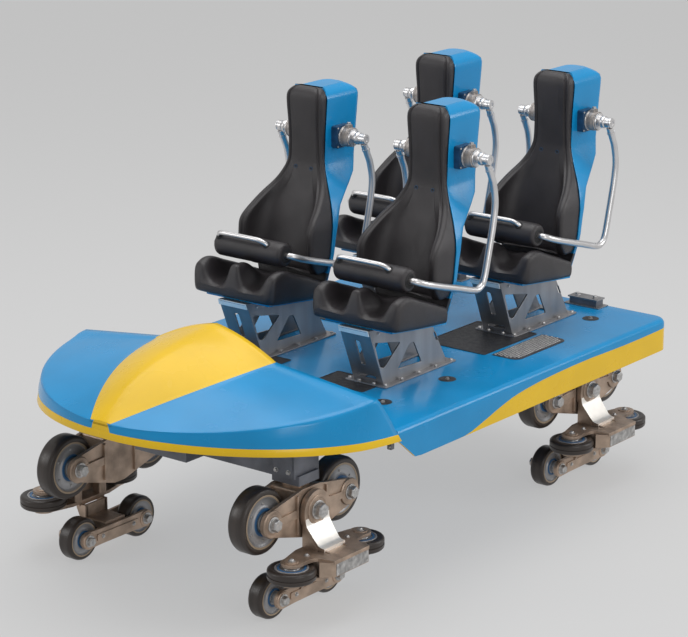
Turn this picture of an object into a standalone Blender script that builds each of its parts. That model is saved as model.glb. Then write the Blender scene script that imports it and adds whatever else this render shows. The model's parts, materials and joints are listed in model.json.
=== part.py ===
"""Roller coaster car: a four-seat front car on four wheel carriers.

Metres, +Z up. The nose points to -Y and the car's left is +X. The origin lies on
the floor under the middle of the car, which stands on its eight up-stop wheels.
"""
import math

import bmesh
import bpy
from mathutils import Matrix, Vector

GAP = 0.0003                 # between pieces that touch
PIN_PLAY = 0.0006            # between a pin and the bore that turns on it
CUT = 0.020                  # a cutting solid stands out past the face by this
SEAM = 0.002                 # joined solids run into each other by this
FINE_SIDES = 12              # king pins, collars, housings and knobs

# Wheels: the tread is a polygon, so a wheel stands on a flat
WHEEL_SIDES = 20
TREAD_CHAMFER = 0.012
AXLE_RADIUS = 0.018
ROD_SIDES = 8                # axles, spacers and tubes
ROAD_RADIUS = 0.158
ROAD_WIDTH = 0.096
UPSTOP_RADIUS = 0.1064
UPSTOP_WIDTH = 0.080
SIDE_RADIUS = 0.1145
SIDE_WIDTH = 0.060
HUB_PLAY = 0.0005            # side play between a wheel and its spacers
SPACER_RADIUS = 0.034

# Track that the carriers run on; the rails themselves are not part of the car
GAUGE = 1.20
RAIL_RADIUS = 0.064
RAIL_X = GAUGE / 2
UPSTOP_Z = UPSTOP_RADIUS * math.cos(math.pi / WHEEL_SIDES)
RAIL_Z = UPSTOP_Z + UPSTOP_RADIUS + RAIL_RADIUS
ROAD_Z = RAIL_Z + RAIL_RADIUS + ROAD_RADIUS
SIDE_X = RAIL_X + RAIL_RADIUS + SIDE_RADIUS + 0.003

# Wheel carriers
FRONT_AXLE_Y = -1.040
WHEELBASE = 2.296
REAR_AXLE_Y = FRONT_AXLE_Y + WHEELBASE
ROAD_HALF_SPACING = 0.282
UPSTOP_HALF_SPACING = 0.205
SIDE_HALF_SPACING = 0.2535
SIDE_GAP = 0.024             # between a road wheel and the rocker plates
ROCKER_PLATE = 0.028
ROCKER_END_RADIUS = 0.066
ROCKER_TOP = 0.108           # above the axles, at the middle
ROCKER_BOTTOM = 0.138        # below the axles, at the middle
ROCKER_CROWN_HALF = 0.075    # half length of its level top
ROCKER_KEEL_HALF = 0.045     # half length of its level bottom
HUB_HALF_Y = 0.085
HUB_TOP = 0.100              # above the axles
HUB_BOTTOM = 0.070           # below the axles
COLLAR_RADIUS = 0.055
KINGPIN_RADIUS = 0.030
KINGPIN_DEPTH = 0.150
HANGER_PLATE = 0.030
HANGER_HALF_WIDTH = 0.0775
HANGER_HEAD_RADIUS = 0.0775
HANGER_KNEE_DROP = 0.048     # from the pivot down to the knee
HANGER_REACH = 0.122         # from the rocker out to the foot of the knee
KNEE_FOOT = 0.050            # depth of the knee's foot on the side plate
PIVOT_BOLT_RADIUS = 0.036
PIVOT_BOLT_HEAD = 0.022
SIDE_PLATE = 0.017
SIDE_PLATE_GAP = 0.008       # between a side wheel and its plates
SIDE_PLATE_INNER_X = 0.700
SIDE_PLATE_FOOT_HALF = 0.130 # half width of the plates' inner edge
SIDE_LOBE_RADIUS = 0.052
BUMPER_X = 0.933             # outer face of the carrier
BUMPER_HALF_WIDTH = 0.130
BUMPER_LIP = 0.002           # the block stands out past the plates by this
BUMPER_CLEARANCE = 0.010     # between the block and the side wheels
BUMPER_INNER_X = 0.760       # inner face of the block
WAIST_X = 0.845              # where the plates are narrowest beside the block
WAIST_HALF_WIDTH = 0.150
UPSTOP_ARM = 0.022
UPSTOP_ARM_GAP = 0.012       # between an up-stop wheel and its inner arm
ARM_CLEARANCE = 0.005        # between the rail and the outer arm
UPSTOP_ARM_RADIUS = 0.044
UPSTOP_BRIDGE_HALF = 0.072
UPSTOP_BRIDGE_LOW = 0.030    # below the up-stop axles
UPSTOP_BRIDGE_HIGH = 0.055   # above the up-stop axles
WEB_HALF_WIDTH = 0.080
WEB_FOOT = 0.030             # the web's reach under the lower side plate

# Chassis frame
FRAME_TOP = 0.8177
FRAME_BOTTOM = 0.672
SPINE_HALF_WIDTH = 0.160
SPINE_FRONT_Y = -1.300
SPINE_REAR_Y = REAR_AXLE_Y + 0.344
SPINE_FRONT_TOP = 0.770      # passes under the nose's rear wall
SPINE_STEP = 0.020           # behind the deck's front edge, where it gets deeper
AXLE_BEAM_HALF_X = 0.665
AXLE_BEAM_HALF_Y = 0.090
AXLE_BEAM_BOTTOM = 0.650
CROSS_MEMBER_HALF_X = 0.900
CROSS_MEMBER_HALF_Y = 0.040
CROSS_MEMBER_HEIGHT = 0.070
CROSS_MEMBERS_Y = (-0.400, 0.120, 0.720)
COUPLER_HALF_X = 0.110
COUPLER_HALF_Z = 0.060
NOTCH_DEPTH = 0.050
COUPLER_Z = 0.735
COUPLER_FACE_Y = REAR_AXLE_Y + 0.444   # flush with the rear skirt
COUPLER_PLAY = 0.010         # round the coupler in the rear skirt's notch

# Deck
DECK_TOP = 0.830
DECK_HALF_WIDTH = 0.930
DECK_FRONT_Y = -0.691
DECK_REAR_Y = COUPLER_FACE_Y
DECK_CORNER = 0.080          # rear corners, seen from above
DECK_SKIRT_BOTTOM = 0.660
DECK_PLATE = 0.012
DECK_ROUND = 0.030
DECK_SLANT_Y = 0.139         # the skirt's front end leans back by this
DECK_SLANT_Z = 0.115

# Nose
NOSE_RADIUS_X = 0.950
NOSE_CENTRE_Y = -0.750
NOSE_TIP_Y = -1.700
NOSE_REAR_TOP_Y = -0.833
NOSE_BOTTOM_REAR_Z = 0.775
NOSE_BOTTOM_RISE = 0.091     # rise per metre towards the tip
NOSE_EDGE_TIP_Z = 0.925      # top edge of the side band at the tip
NOSE_EDGE_REAR_Z = 0.995
NOSE_SHOULDER_RISE = 0.060
NOSE_HUMP_RISE = 0.150
NOSE_HUMP_HALF = 0.360       # half width of the hump at the rear
NOSE_HUMP_TIP_HALF = 0.060
NOSE_BAND_INSET = 0.030
NOSE_PLATE = 0.012
NOSE_FADE = 0.96             # how far the dome sinks towards the tip
NOSE_EDGE_SHARE = 0.80       # least share of the outline's width at the band's top
NOSE_HUMP_TAPER = 0.80
NOSE_HUMP_LIMIT = 0.62       # the hump's greatest share of the width
NOSE_EDGE_DROP = 0.006
NOSE_STATIONS = (0, 15, 30, 45, 60, 73, 84)   # degrees round the outline
NOSE_CORNER = (0.93, 0.15)   # share of the width, share of the shoulder's rise
NOSE_SIDE_RISE = 0.75        # half way from the corner to the hump
NOSE_HUMP_RIDGE = (0.50, 0.68)  # share of the hump's width, share of its rise
NOSE_RADIUS_Y = (NOSE_CENTRE_Y - NOSE_TIP_Y) / math.sin(math.radians(NOSE_STATIONS[-1]))

# Seats
SEAT_HALF_SPACING = 0.3817
ROW_SPACING = 1.097
FRONT_PIVOT_Y = 0.389
PIVOT_Z = 1.875
PIVOT_BLOCK_HALF = 0.062     # half its height
PIVOT_BLOCK_FRONT = -0.074
PIVOT_BLOCK_REAR = 0.050
PIVOT_BLOCK_X = 0.150
PIVOT_HOUSING_RADIUS = 0.052
PIVOT_HOUSING_X = 0.205
SHELL_SKIN = 0.004
SHELL_GAP = 2 * GAP          # between the back pad and the shell

# Seat back levels: height, half width, front at the middle, wing's leading edge,
# wing's rear edge, rear at the middle, rear face of the shell (Y from the pivot)
BACK_LEVELS = (
    (1.218, 0.225, -0.274, -0.325, -0.240, -0.214, -0.185),
    (1.320, 0.244, -0.249, -0.394, -0.229, -0.189, -0.160),
    (1.450, 0.243, -0.219, -0.389, -0.214, -0.164, -0.137),
    (1.550, 0.218, -0.194, -0.294, -0.194, -0.139, -0.112),
    (1.600, 0.192, -0.180, -0.238, -0.174, -0.129, -0.088),
    (PIVOT_Z - 0.235, 0.165, -0.169, -0.194, -0.154, -0.119, -0.040),
    (PIVOT_Z - 0.190, 0.140, -0.157, -0.166, -0.137, -0.107, 0.060),
    (PIVOT_Z - 0.115, 0.117, -0.144, -0.143, -0.114, -0.089, 0.140),
    (PIVOT_Z + 0.025, 0.117, -0.147, -0.145, -0.098, -0.080, 0.163),
    (PIVOT_Z + 0.205, 0.126, -0.157, -0.154, -0.089, -0.077, 0.172),
    (PIVOT_Z + 0.255, 0.104, -0.143, -0.136, -0.089, -0.077, 0.146),
)
WING_WALL = 0.050
WING_WALL_SHARE = 0.30       # the wall's greatest share of the half width
WING_ROOT = 1.3              # the wing's root lies this many walls in
BACK_HOLLOW = 0.50           # share of the half width where the hollow starts to rise
BACK_HOLLOW_RISE = 0.10      # share of the wing's lead reached there
WING_ROOT_RISE = 0.45        # share of the wing's lead at its root
WING_TIP_INNER = 0.004
WING_TIP_OUTER = 0.012
BACK_REAR_SHARE = 0.70       # half width of the pad's flat rear
SHELL_FOOT_Z = 1.085
SHELL_FOOT_HALF = 0.200
SHELL_FOOT_FRONT = -0.255
SHELL_FOOT_REAR = -0.190
SHELL_CORNER = 0.030

# Seat pad stations: Y from the pivot, centre hump, leg trough, side bolster,
# half width
PAD_STATIONS = (
    (-0.729, 1.205, 1.190, 1.200, 0.235),
    (-0.699, 1.322, 1.205, 1.292, 0.262),
    (-0.629, 1.322, 1.200, 1.315, 0.265),
    (-0.509, 1.240, 1.190, 1.275, 0.265),
    (-0.274, 1.188, 1.178, 1.184, 0.250),
)
# Seat pad section: X, which height of the station, offset from it
PAD_SECTION = (
    (0.000, "hump", 0.000),
    (0.022, "hump", -0.003),
    (0.055, "trough", 0.020),
    (0.110, "trough", 0.000),
    (0.170, "trough", 0.020),
    (0.205, "bolster", -0.006),
)
PAD_SIDE_INSET = 0.012
PAD_SIDE_DROP = 0.020
PAD_FRONT_UNDERSIDE = 1.153
PAD_REAR_UNDERSIDE = 1.100
BASE_PLATE = 0.014
BASE_HALF_WIDTH = 0.225
BASE_FRONT_OFFSET = 0.020
BASE_LAP = 0.020             # the base plate runs into the shell's foot by this

# Pedestal, Y from the pivot
PEDESTAL_HALF_WIDTH = 0.092
PEDESTAL_PLATE = 0.008
PEDESTAL_FRONT_FOOT = -0.591
PEDESTAL_FRONT_TOP = -0.715
PEDESTAL_REAR_TOP = -0.215
PEDESTAL_REAR_FOOT = -0.072
PEDESTAL_FLANGE_MARGIN = 0.035
PEDESTAL_FLANGE = 0.008
PEDESTAL_WEB = 0.036         # width of the strips round the cut-outs
PEDESTAL_FRONT_PLATE = 0.012
PEDESTAL_MOUTH = 0.030       # the hollow runs out of the open rear by this
PEDESTAL_LOW_STRIP = 1.3     # strips between the foot and the cut-outs
PEDESTAL_HIGH_CORNER = 0.82  # share of the front edge's height
# Front cut-out: strips at its top front, its top rear and its low corner
PEDESTAL_FRONT_STRIPS = (2.2, 1.7, 0.3)
PEDESTAL_FRONT_REACH = 0.135
PEDESTAL_FRONT_LIFT = 0.045
# Rear cut-out: strips behind the middle (ahead of it if negative), under the top, ahead of the rear foot
# and behind the front foot
PEDESTAL_REAR_STRIPS = (-0.9, 2.6, 6.2, 3.1)
PEDESTAL_REAR_LIFT = 0.015

# Lap bar, Y from the pivot
TUBE_RADIUS = 0.014
KNOB_RADIUS = 0.026
KNOB_INNER_X = PIVOT_HOUSING_X + GAP
KNOB_OUTER_X = 0.289
ROLL_Y = -0.552
ROLL_Z = 1.372
ROLL_RADIUS = 0.062
ROLL_HALF_LENGTH = 0.215
HANDLE_RADIUS = 0.012
HANDLE_HEIGHT = 0.028        # centre line above the roll's surface
HANDLE_ROOT = 0.014          # depth of its ends in the roll
HANDLE_LEFT_X = -0.185
HANDLE_RIGHT_X = 0.125
HANDLE_ANGLE = 52            # degrees up from the front
ROLL_EDGE = 0.012
ROLL_SIDES = 14

# Grab handle's centre line: X from the seat's middle, height above the roll
HANDLE_ROUTE = (
    (HANDLE_LEFT_X, -HANDLE_ROOT),
    (HANDLE_LEFT_X + 0.004, HANDLE_HEIGHT - 0.010),
    (HANDLE_LEFT_X + 0.024, HANDLE_HEIGHT),
    (HANDLE_RIGHT_X - 0.060, HANDLE_HEIGHT),
    (HANDLE_RIGHT_X - 0.020, HANDLE_HEIGHT - 0.012),
    (HANDLE_RIGHT_X, -HANDLE_ROOT),
)

# Arm's centre line: X, Y from the pivot, Z
ARM_ROUTE = (
    (0.272, 0.000, PIVOT_Z),
    (0.272, 0.052, PIVOT_Z - 0.135),
    (0.272, 0.068, PIVOT_Z - 0.225),
    (0.272, 0.055, 1.550),
    (0.272, -0.018, 1.270),
    (0.272, -0.052, 1.238),
    (0.272, -0.100, 1.236),
    (0.272, -0.400, 1.322),
    (0.266, -0.490, 1.350),
    (0.248, -0.538, 1.368),
    (0.220, -0.552, 1.372),
)

# Finishes: colour, roughness, metallic
BLUE_PAINT = ((0.035, 0.27, 0.62), 0.18, 0.0)
FOAM_SKIN = ((0.035, 0.033, 0.036), 0.6, 0.0)
CAST_BRONZE = ((0.34, 0.25, 0.17), 0.45, 0.7)
BRIGHT_STEEL = ((0.62, 0.62, 0.63), 0.3, 0.9)
CHROME = ((0.75, 0.75, 0.76), 0.12, 1.0)
FRAME_PAINT = ((0.12, 0.12, 0.14), 0.5, 0.3)
TYRE_SKIN = ((0.075, 0.06, 0.05), 0.5, 0.0)
SMOOTH_ANGLE = 32            # degrees; edges sharper than this stay sharp
MERGE = 0.00005


def clear_scene():
    for item in list(bpy.data.objects):
        bpy.data.objects.remove(item, do_unlink=True)


def make_collection(name):
    found = bpy.data.collections.new(name)
    bpy.context.scene.collection.children.link(found)
    return found


def paint(item, finish):
    """Give the object its own Principled material."""
    colour, roughness, metallic = finish
    found = bpy.data.materials.new(item.name)
    found.use_nodes = True
    shader = found.node_tree.nodes["Principled BSDF"]
    shader.inputs["Base Color"].default_value = (*colour, 1.0)
    shader.inputs["Roughness"].default_value = roughness
    shader.inputs["Metallic"].default_value = metallic
    item.data.materials.clear()
    item.data.materials.append(found)
    for polygon in item.data.polygons:
        polygon.material_index = 0
    item.data.shade_smooth()
    item.data.set_sharp_from_angle(angle=math.radians(SMOOTH_ANGLE))


def object_from_bmesh(name, work):
    mesh = bpy.data.meshes.new(name)
    work.to_mesh(mesh)
    work.free()
    item = bpy.data.objects.new(name, mesh)
    PARTS.objects.link(item)
    return item


def bake(item):
    """Replace the object's data with the mesh that its modifiers make."""
    depsgraph = bpy.context.evaluated_depsgraph_get()
    mesh = bpy.data.meshes.new_from_object(item.evaluated_get(depsgraph))
    old = item.data
    name = item.name
    if item.type == "MESH":
        item.modifiers.clear()
        item.data = mesh
        bpy.data.meshes.remove(old)
        return item
    work = bmesh.new()
    work.from_mesh(mesh)
    bmesh.ops.remove_doubles(work, verts=work.verts, dist=MERGE)
    bmesh.ops.recalc_face_normals(work, faces=work.faces)
    matrix = item.matrix_world.copy()
    bpy.data.objects.remove(item, do_unlink=True)
    bpy.data.curves.remove(old)
    bpy.data.meshes.remove(mesh)
    solid = object_from_bmesh(name, work)
    solid.matrix_world = matrix
    return solid


def combine(item, others, operation="UNION"):
    """Join the other solids to the object, or cut them out of it."""
    for other in others:
        step = item.modifiers.new("Combine", "BOOLEAN")
        step.operation = operation
        step.solver = "EXACT"
        step.object = other
        bpy.context.view_layer.update()
        bake(item)
        bpy.data.objects.remove(other, do_unlink=True)
    return item


def box(name, low, high):
    work = bmesh.new()
    bmesh.ops.create_cube(work, size=1.0)
    size = [high[i] - low[i] for i in range(3)]
    middle = [(high[i] + low[i]) / 2 for i in range(3)]
    bmesh.ops.scale(work, vec=size, verts=work.verts)
    bmesh.ops.translate(work, vec=middle, verts=work.verts)
    return object_from_bmesh(name, work)


def rod(name, start, end, radius, sides=ROD_SIDES):
    """Cylinder from one point to another."""
    start, end = Vector(start), Vector(end)
    work = bmesh.new()
    bmesh.ops.create_cone(work, cap_ends=True, segments=sides, radius1=radius,
                          radius2=radius, depth=(end - start).length)
    turn = (end - start).to_track_quat("Z", "Y").to_matrix().to_4x4()
    bmesh.ops.transform(work, matrix=Matrix.Translation((start + end) / 2) @ turn,
                        verts=work.verts)
    return object_from_bmesh(name, work)


def plate(name, outline, normal, low, high):
    """Flat outline made thick along X, Y or Z, from low to high.

    The outline's points are the other two coordinates: YZ, XZ or XY.
    """
    curve = bpy.data.curves.new(name, "CURVE")
    curve.dimensions = "2D"
    curve.fill_mode = "BOTH"
    curve.extrude = (high - low) / 2
    spline = curve.splines.new("POLY")
    spline.points.add(len(outline) - 1)
    for point, (u, v) in zip(spline.points, outline):
        point.co = (u, v, 0.0, 1.0)
    spline.use_cyclic_u = True
    item = bpy.data.objects.new(name, curve)
    PARTS.objects.link(item)
    middle = (high + low) / 2
    turns = {
        "X": Matrix(((0, 0, 1, middle), (1, 0, 0, 0), (0, 1, 0, 0), (0, 0, 0, 1))),
        "Y": Matrix(((1, 0, 0, 0), (0, 0, 1, middle), (0, 1, 0, 0), (0, 0, 0, 1))),
        "Z": Matrix(((1, 0, 0, 0), (0, 1, 0, 0), (0, 0, 1, middle), (0, 0, 0, 1))),
    }
    bpy.context.view_layer.update()
    solid = bake(item)
    solid.data.transform(turns[normal])
    if turns[normal].determinant() < 0:
        solid.data.flip_normals()
    return solid


def tube(name, points, radius, resolution=2):
    """Round bar along a polyline, with closed ends."""
    curve = bpy.data.curves.new(name, "CURVE")
    curve.dimensions = "3D"
    curve.bevel_depth = radius
    curve.bevel_resolution = resolution
    curve.use_fill_caps = True
    spline = curve.splines.new("POLY")
    spline.points.add(len(points) - 1)
    for point, place in zip(spline.points, points):
        point.co = (*place, 1.0)
    item = bpy.data.objects.new(name, curve)
    PARTS.objects.link(item)
    bpy.context.view_layer.update()
    return bake(item)


def turned(name, profile, sides, closed):
    """Solid turned round Z from a profile of (radius, height), top to bottom."""
    work = bmesh.new()
    corners = [work.verts.new((radius, 0.0, height)) for radius, height in profile]
    for first, second in zip(corners, corners[1:]):
        work.edges.new((first, second))
    if closed:
        work.edges.new((corners[-1], corners[0]))
    item = object_from_bmesh(name, work)
    screw = item.modifiers.new("Turn", "SCREW")
    screw.axis = "Z"
    screw.angle = 2 * math.pi
    screw.steps = sides
    screw.render_steps = sides
    screw.use_merge_vertices = True
    screw.merge_threshold = 0.0001
    bpy.context.view_layer.update()
    return bake(item)


def loft(name, rings, lean=1):
    """Closed solid through rings that have the same number of points.

    Each quad is split along one diagonal. Two solids that face each other with
    their rings in opposite order use opposite leans, so that they stay parallel.
    """
    work = bmesh.new()
    layers = [[work.verts.new(point) for point in ring] for ring in rings]
    count = len(rings[0])
    for lower, upper in zip(layers, layers[1:]):
        for i in range(count):
            j = (i + 1) % count
            if lean > 0:
                work.faces.new((lower[i], lower[j], upper[j]))
                work.faces.new((lower[i], upper[j], upper[i]))
            else:
                work.faces.new((lower[i], lower[j], upper[i]))
                work.faces.new((lower[j], upper[j], upper[i]))
    work.faces.new(list(reversed(layers[0])))
    work.faces.new(layers[-1])
    bmesh.ops.recalc_face_normals(work, faces=work.faces)
    return object_from_bmesh(name, work)


def mirrored_ring(half):
    """Whole ring from the points on its +X side, which start and end at X = 0."""
    return half + [(-x, y) for x, y in reversed(half[1:-1])]


def arc(centre, radius, start, end, steps):
    """Points of an arc in degrees, ends included."""
    angles = [math.radians(start + (end - start) * i / steps) for i in range(steps + 1)]
    return [(centre[0] + radius * math.cos(a), centre[1] + radius * math.sin(a))
            for a in angles]


def wheel(name, radius, width, place, along):
    """Tyre and hub as one turned ring with its bore."""
    half = width / 2
    bore = AXLE_RADIUS + PIN_PLAY
    profile = [
        (bore, half),
        (radius - TREAD_CHAMFER, half),
        (radius, half - TREAD_CHAMFER),
        (radius, TREAD_CHAMFER - half),
        (radius - TREAD_CHAMFER, -half),
        (bore, -half),
    ]
    item = turned(name, profile, WHEEL_SIDES, True)
    turn = Matrix.Identity(4)
    if along == "X":
        lift = Matrix.Rotation(math.pi / WHEEL_SIDES, 4, "Z")
        turn = Matrix.Rotation(math.pi / 2, 4, "Y") @ lift
    item.data.transform(turn)
    item.location = place
    paint(item, TYRE_SKIN)
    return item


def rocker(name, side, axle_y):
    """Two plates, the hub between them and the road wheels' axles."""
    inner_face = RAIL_X - ROAD_WIDTH / 2 - SIDE_GAP
    outer_face = RAIL_X + ROAD_WIDTH / 2 + SIDE_GAP
    end = ROAD_HALF_SPACING
    outline = arc((-end, ROAD_Z), ROCKER_END_RADIUS, 110, 250, 5)
    outline += [(-ROCKER_KEEL_HALF, ROAD_Z - ROCKER_BOTTOM)]
    outline += [(ROCKER_KEEL_HALF, ROAD_Z - ROCKER_BOTTOM)]
    outline += arc((end, ROAD_Z), ROCKER_END_RADIUS, -70, 70, 5)
    outline += [(ROCKER_CROWN_HALF, ROAD_Z + ROCKER_TOP)]
    outline += [(-ROCKER_CROWN_HALF, ROAD_Z + ROCKER_TOP)]
    item = plate(name, outline, "X", outer_face, outer_face + ROCKER_PLATE)
    pieces = [plate("inner", outline, "X", inner_face - ROCKER_PLATE, inner_face)]
    low, high = inner_face - SEAM, outer_face + SEAM
    pieces.append(box("hub", (low, -HUB_HALF_Y, ROAD_Z - HUB_BOTTOM),
                      (high, HUB_HALF_Y, ROAD_Z + HUB_TOP)))
    collar_top = AXLE_BEAM_BOTTOM - HUB_PLAY
    pieces.append(rod("collar", (RAIL_X, 0, ROAD_Z), (RAIL_X, 0, collar_top),
                      COLLAR_RADIUS, FINE_SIDES))
    for y in (-end, end):
        pieces.append(rod("axle", (low, y, ROAD_Z), (high, y, ROAD_Z), AXLE_RADIUS))
        for start, stop in ((low, RAIL_X - ROAD_WIDTH / 2 - HUB_PLAY),
                            (high, RAIL_X + ROAD_WIDTH / 2 + HUB_PLAY)):
            pieces.append(rod("spacer", (start, y, ROAD_Z), (stop, y, ROAD_Z),
                              SPACER_RADIUS))
    combine(item, pieces)
    bore = rod("bore", (RAIL_X, 0, collar_top - KINGPIN_DEPTH - HUB_PLAY),
               (RAIL_X, 0, collar_top + CUT), KINGPIN_RADIUS + PIN_PLAY, FINE_SIDES)
    combine(item, [bore], "DIFFERENCE")
    place_carrier_piece(item, side, axle_y)
    paint(item, CAST_BRONZE)
    return item


def side_plate(name, low, high):
    """Plate with a lobe over each side wheel, reaching out to the bumper."""
    lobe = SIDE_LOBE_RADIUS
    outline = [(SIDE_PLATE_INNER_X, -SIDE_PLATE_FOOT_HALF)]
    outline += [(SIDE_X - lobe, -SIDE_HALF_SPACING)]
    outline += arc((SIDE_X, -SIDE_HALF_SPACING), lobe, 180, 370, 5)[1:]
    outline += [(WAIST_X, -WAIST_HALF_WIDTH)]
    outline += [(BUMPER_X, -BUMPER_HALF_WIDTH), (BUMPER_X, BUMPER_HALF_WIDTH)]
    outline += [(WAIST_X, WAIST_HALF_WIDTH)]
    outline += arc((SIDE_X, SIDE_HALF_SPACING), lobe, -10, 180, 5)
    outline += [(SIDE_PLATE_INNER_X, SIDE_PLATE_FOOT_HALF)]
    return plate(name, outline, "Z", low, high)


def bumper_outline():
    """Block between the side plates, hollowed round each side wheel."""
    radius = SIDE_RADIUS + BUMPER_CLEARANCE
    rear = arc((SIDE_X, SIDE_HALF_SPACING), radius, -40, -90, 4)
    front = [(x, -y) for x, y in reversed(rear)]
    outer = BUMPER_X + BUMPER_LIP
    return ([(outer, BUMPER_HALF_WIDTH)] + rear
            + [(BUMPER_INNER_X, rear[-1][1]), (BUMPER_INNER_X, front[0][1])]
            + front + [(outer, -BUMPER_HALF_WIDTH)])


def hanger(name, side, axle_y):
    """Bent bracket with the side wheels' plates and the up-stop wheels' arms."""
    face = RAIL_X + ROAD_WIDTH / 2 + SIDE_GAP + ROCKER_PLATE + GAP
    knee_z = ROAD_Z - HANGER_KNEE_DROP
    top_low = RAIL_Z + SIDE_WIDTH / 2 + SIDE_PLATE_GAP
    low_high = RAIL_Z - SIDE_WIDTH / 2 - SIDE_PLATE_GAP
    foot = face + HANGER_REACH
    width = HANGER_HALF_WIDTH
    head = arc((0, ROAD_Z), HANGER_HEAD_RADIUS, 0, 180, 7)
    head += [(-width, knee_z), (width, knee_z)]
    item = plate(name, head, "X", face, face + HANGER_PLATE)
    knee = [(face, knee_z + SEAM), (face + HANGER_PLATE, knee_z + SEAM),
            (foot, top_low + SIDE_PLATE), (foot, top_low + SEAM),
            (foot - KNEE_FOOT, top_low + SEAM)]
    pieces = [plate("knee", knee, "Y", -width, width)]
    pieces.append(rod("bolt", (face + HANGER_PLATE / 2, 0, ROAD_Z),
                      (face + HANGER_PLATE + PIVOT_BOLT_HEAD, 0, ROAD_Z),
                      PIVOT_BOLT_RADIUS, 6))
    pieces.append(side_plate("top", top_low, top_low + SIDE_PLATE))
    pieces.append(side_plate("low", low_high - SIDE_PLATE, low_high))
    pieces.append(plate("bumper", bumper_outline(), "Z", low_high - SIDE_PLATE - BUMPER_LIP,
                        top_low + SIDE_PLATE / 2))
    for y in (-SIDE_HALF_SPACING, SIDE_HALF_SPACING):
        low, high = low_high - SEAM, top_low + SEAM
        pieces.append(rod("side axle", (SIDE_X, y, low), (SIDE_X, y, high), AXLE_RADIUS))
        for start, stop in ((low, RAIL_Z - SIDE_WIDTH / 2 - HUB_PLAY),
                            (high, RAIL_Z + SIDE_WIDTH / 2 + HUB_PLAY)):
            pieces.append(rod("side spacer", (SIDE_X, y, start), (SIDE_X, y, stop),
                              SPACER_RADIUS))
    arm_inner = RAIL_X - UPSTOP_WIDTH / 2 - UPSTOP_ARM_GAP
    arm_outer = RAIL_X + RAIL_RADIUS + ARM_CLEARANCE
    arm = arc((-UPSTOP_HALF_SPACING, UPSTOP_Z), UPSTOP_ARM_RADIUS, 90, 270, 5)
    arm += arc((UPSTOP_HALF_SPACING, UPSTOP_Z), UPSTOP_ARM_RADIUS, -90, 90, 5)
    pieces.append(plate("arm", arm, "X", arm_outer, arm_outer + UPSTOP_ARM))
    pieces.append(plate("inner arm", arm, "X", arm_inner - UPSTOP_ARM, arm_inner))
    low, high = arm_inner - SEAM, arm_outer + SEAM
    pieces.append(box("bridge", (low, -UPSTOP_BRIDGE_HALF, UPSTOP_Z - UPSTOP_BRIDGE_LOW),
                      (high, UPSTOP_BRIDGE_HALF, UPSTOP_Z + UPSTOP_BRIDGE_HIGH)))
    pieces.append(box("web", (arm_outer + SEAM / 2, -WEB_HALF_WIDTH, UPSTOP_Z),
                      (SIDE_PLATE_INNER_X + WEB_FOOT, WEB_HALF_WIDTH, low_high - SEAM)))
    for y in (-UPSTOP_HALF_SPACING, UPSTOP_HALF_SPACING):
        pieces.append(rod("up-stop axle", (low, y, UPSTOP_Z), (high, y, UPSTOP_Z),
                          AXLE_RADIUS))
        for start, stop in ((low, RAIL_X - UPSTOP_WIDTH / 2 - HUB_PLAY),
                            (high, RAIL_X + UPSTOP_WIDTH / 2 + HUB_PLAY)):
            pieces.append(rod("up-stop spacer", (start, y, UPSTOP_Z),
                              (stop, y, UPSTOP_Z), SPACER_RADIUS))
    combine(item, pieces)
    place_carrier_piece(item, side, axle_y)
    paint(item, CAST_BRONZE)
    return item


def place_carrier_piece(item, side, axle_y):
    """Move a carrier's piece to its king pin, and turn it over for the right side."""
    item.data.transform(Matrix.Translation((-RAIL_X, 0, 0)))
    if side < 0:
        item.data.transform(Matrix.Diagonal((-1, 1, 1, 1)))
        item.data.flip_normals()
    item.location = (side * RAIL_X, axle_y, 0)


def carrier(label, side, axle_y):
    """One wheel carrier with its six wheels."""
    rocker(f"rocker_{label}", side, axle_y)
    hanger(f"hanger_{label}", side, axle_y)
    for end, sign in (("front", -1), ("rear", 1)):
        y = axle_y + sign * ROAD_HALF_SPACING
        wheel(f"road_wheel_{label}_{end}", ROAD_RADIUS, ROAD_WIDTH,
              (side * RAIL_X, y, ROAD_Z), "X")
        y = axle_y + sign * SIDE_HALF_SPACING
        wheel(f"side_wheel_{label}_{end}", SIDE_RADIUS, SIDE_WIDTH,
              (side * SIDE_X, y, RAIL_Z), "Z")
        y = axle_y + sign * UPSTOP_HALF_SPACING
        wheel(f"upstop_wheel_{label}_{end}", UPSTOP_RADIUS, UPSTOP_WIDTH,
              (side * RAIL_X, y, UPSTOP_Z), "X")


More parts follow.
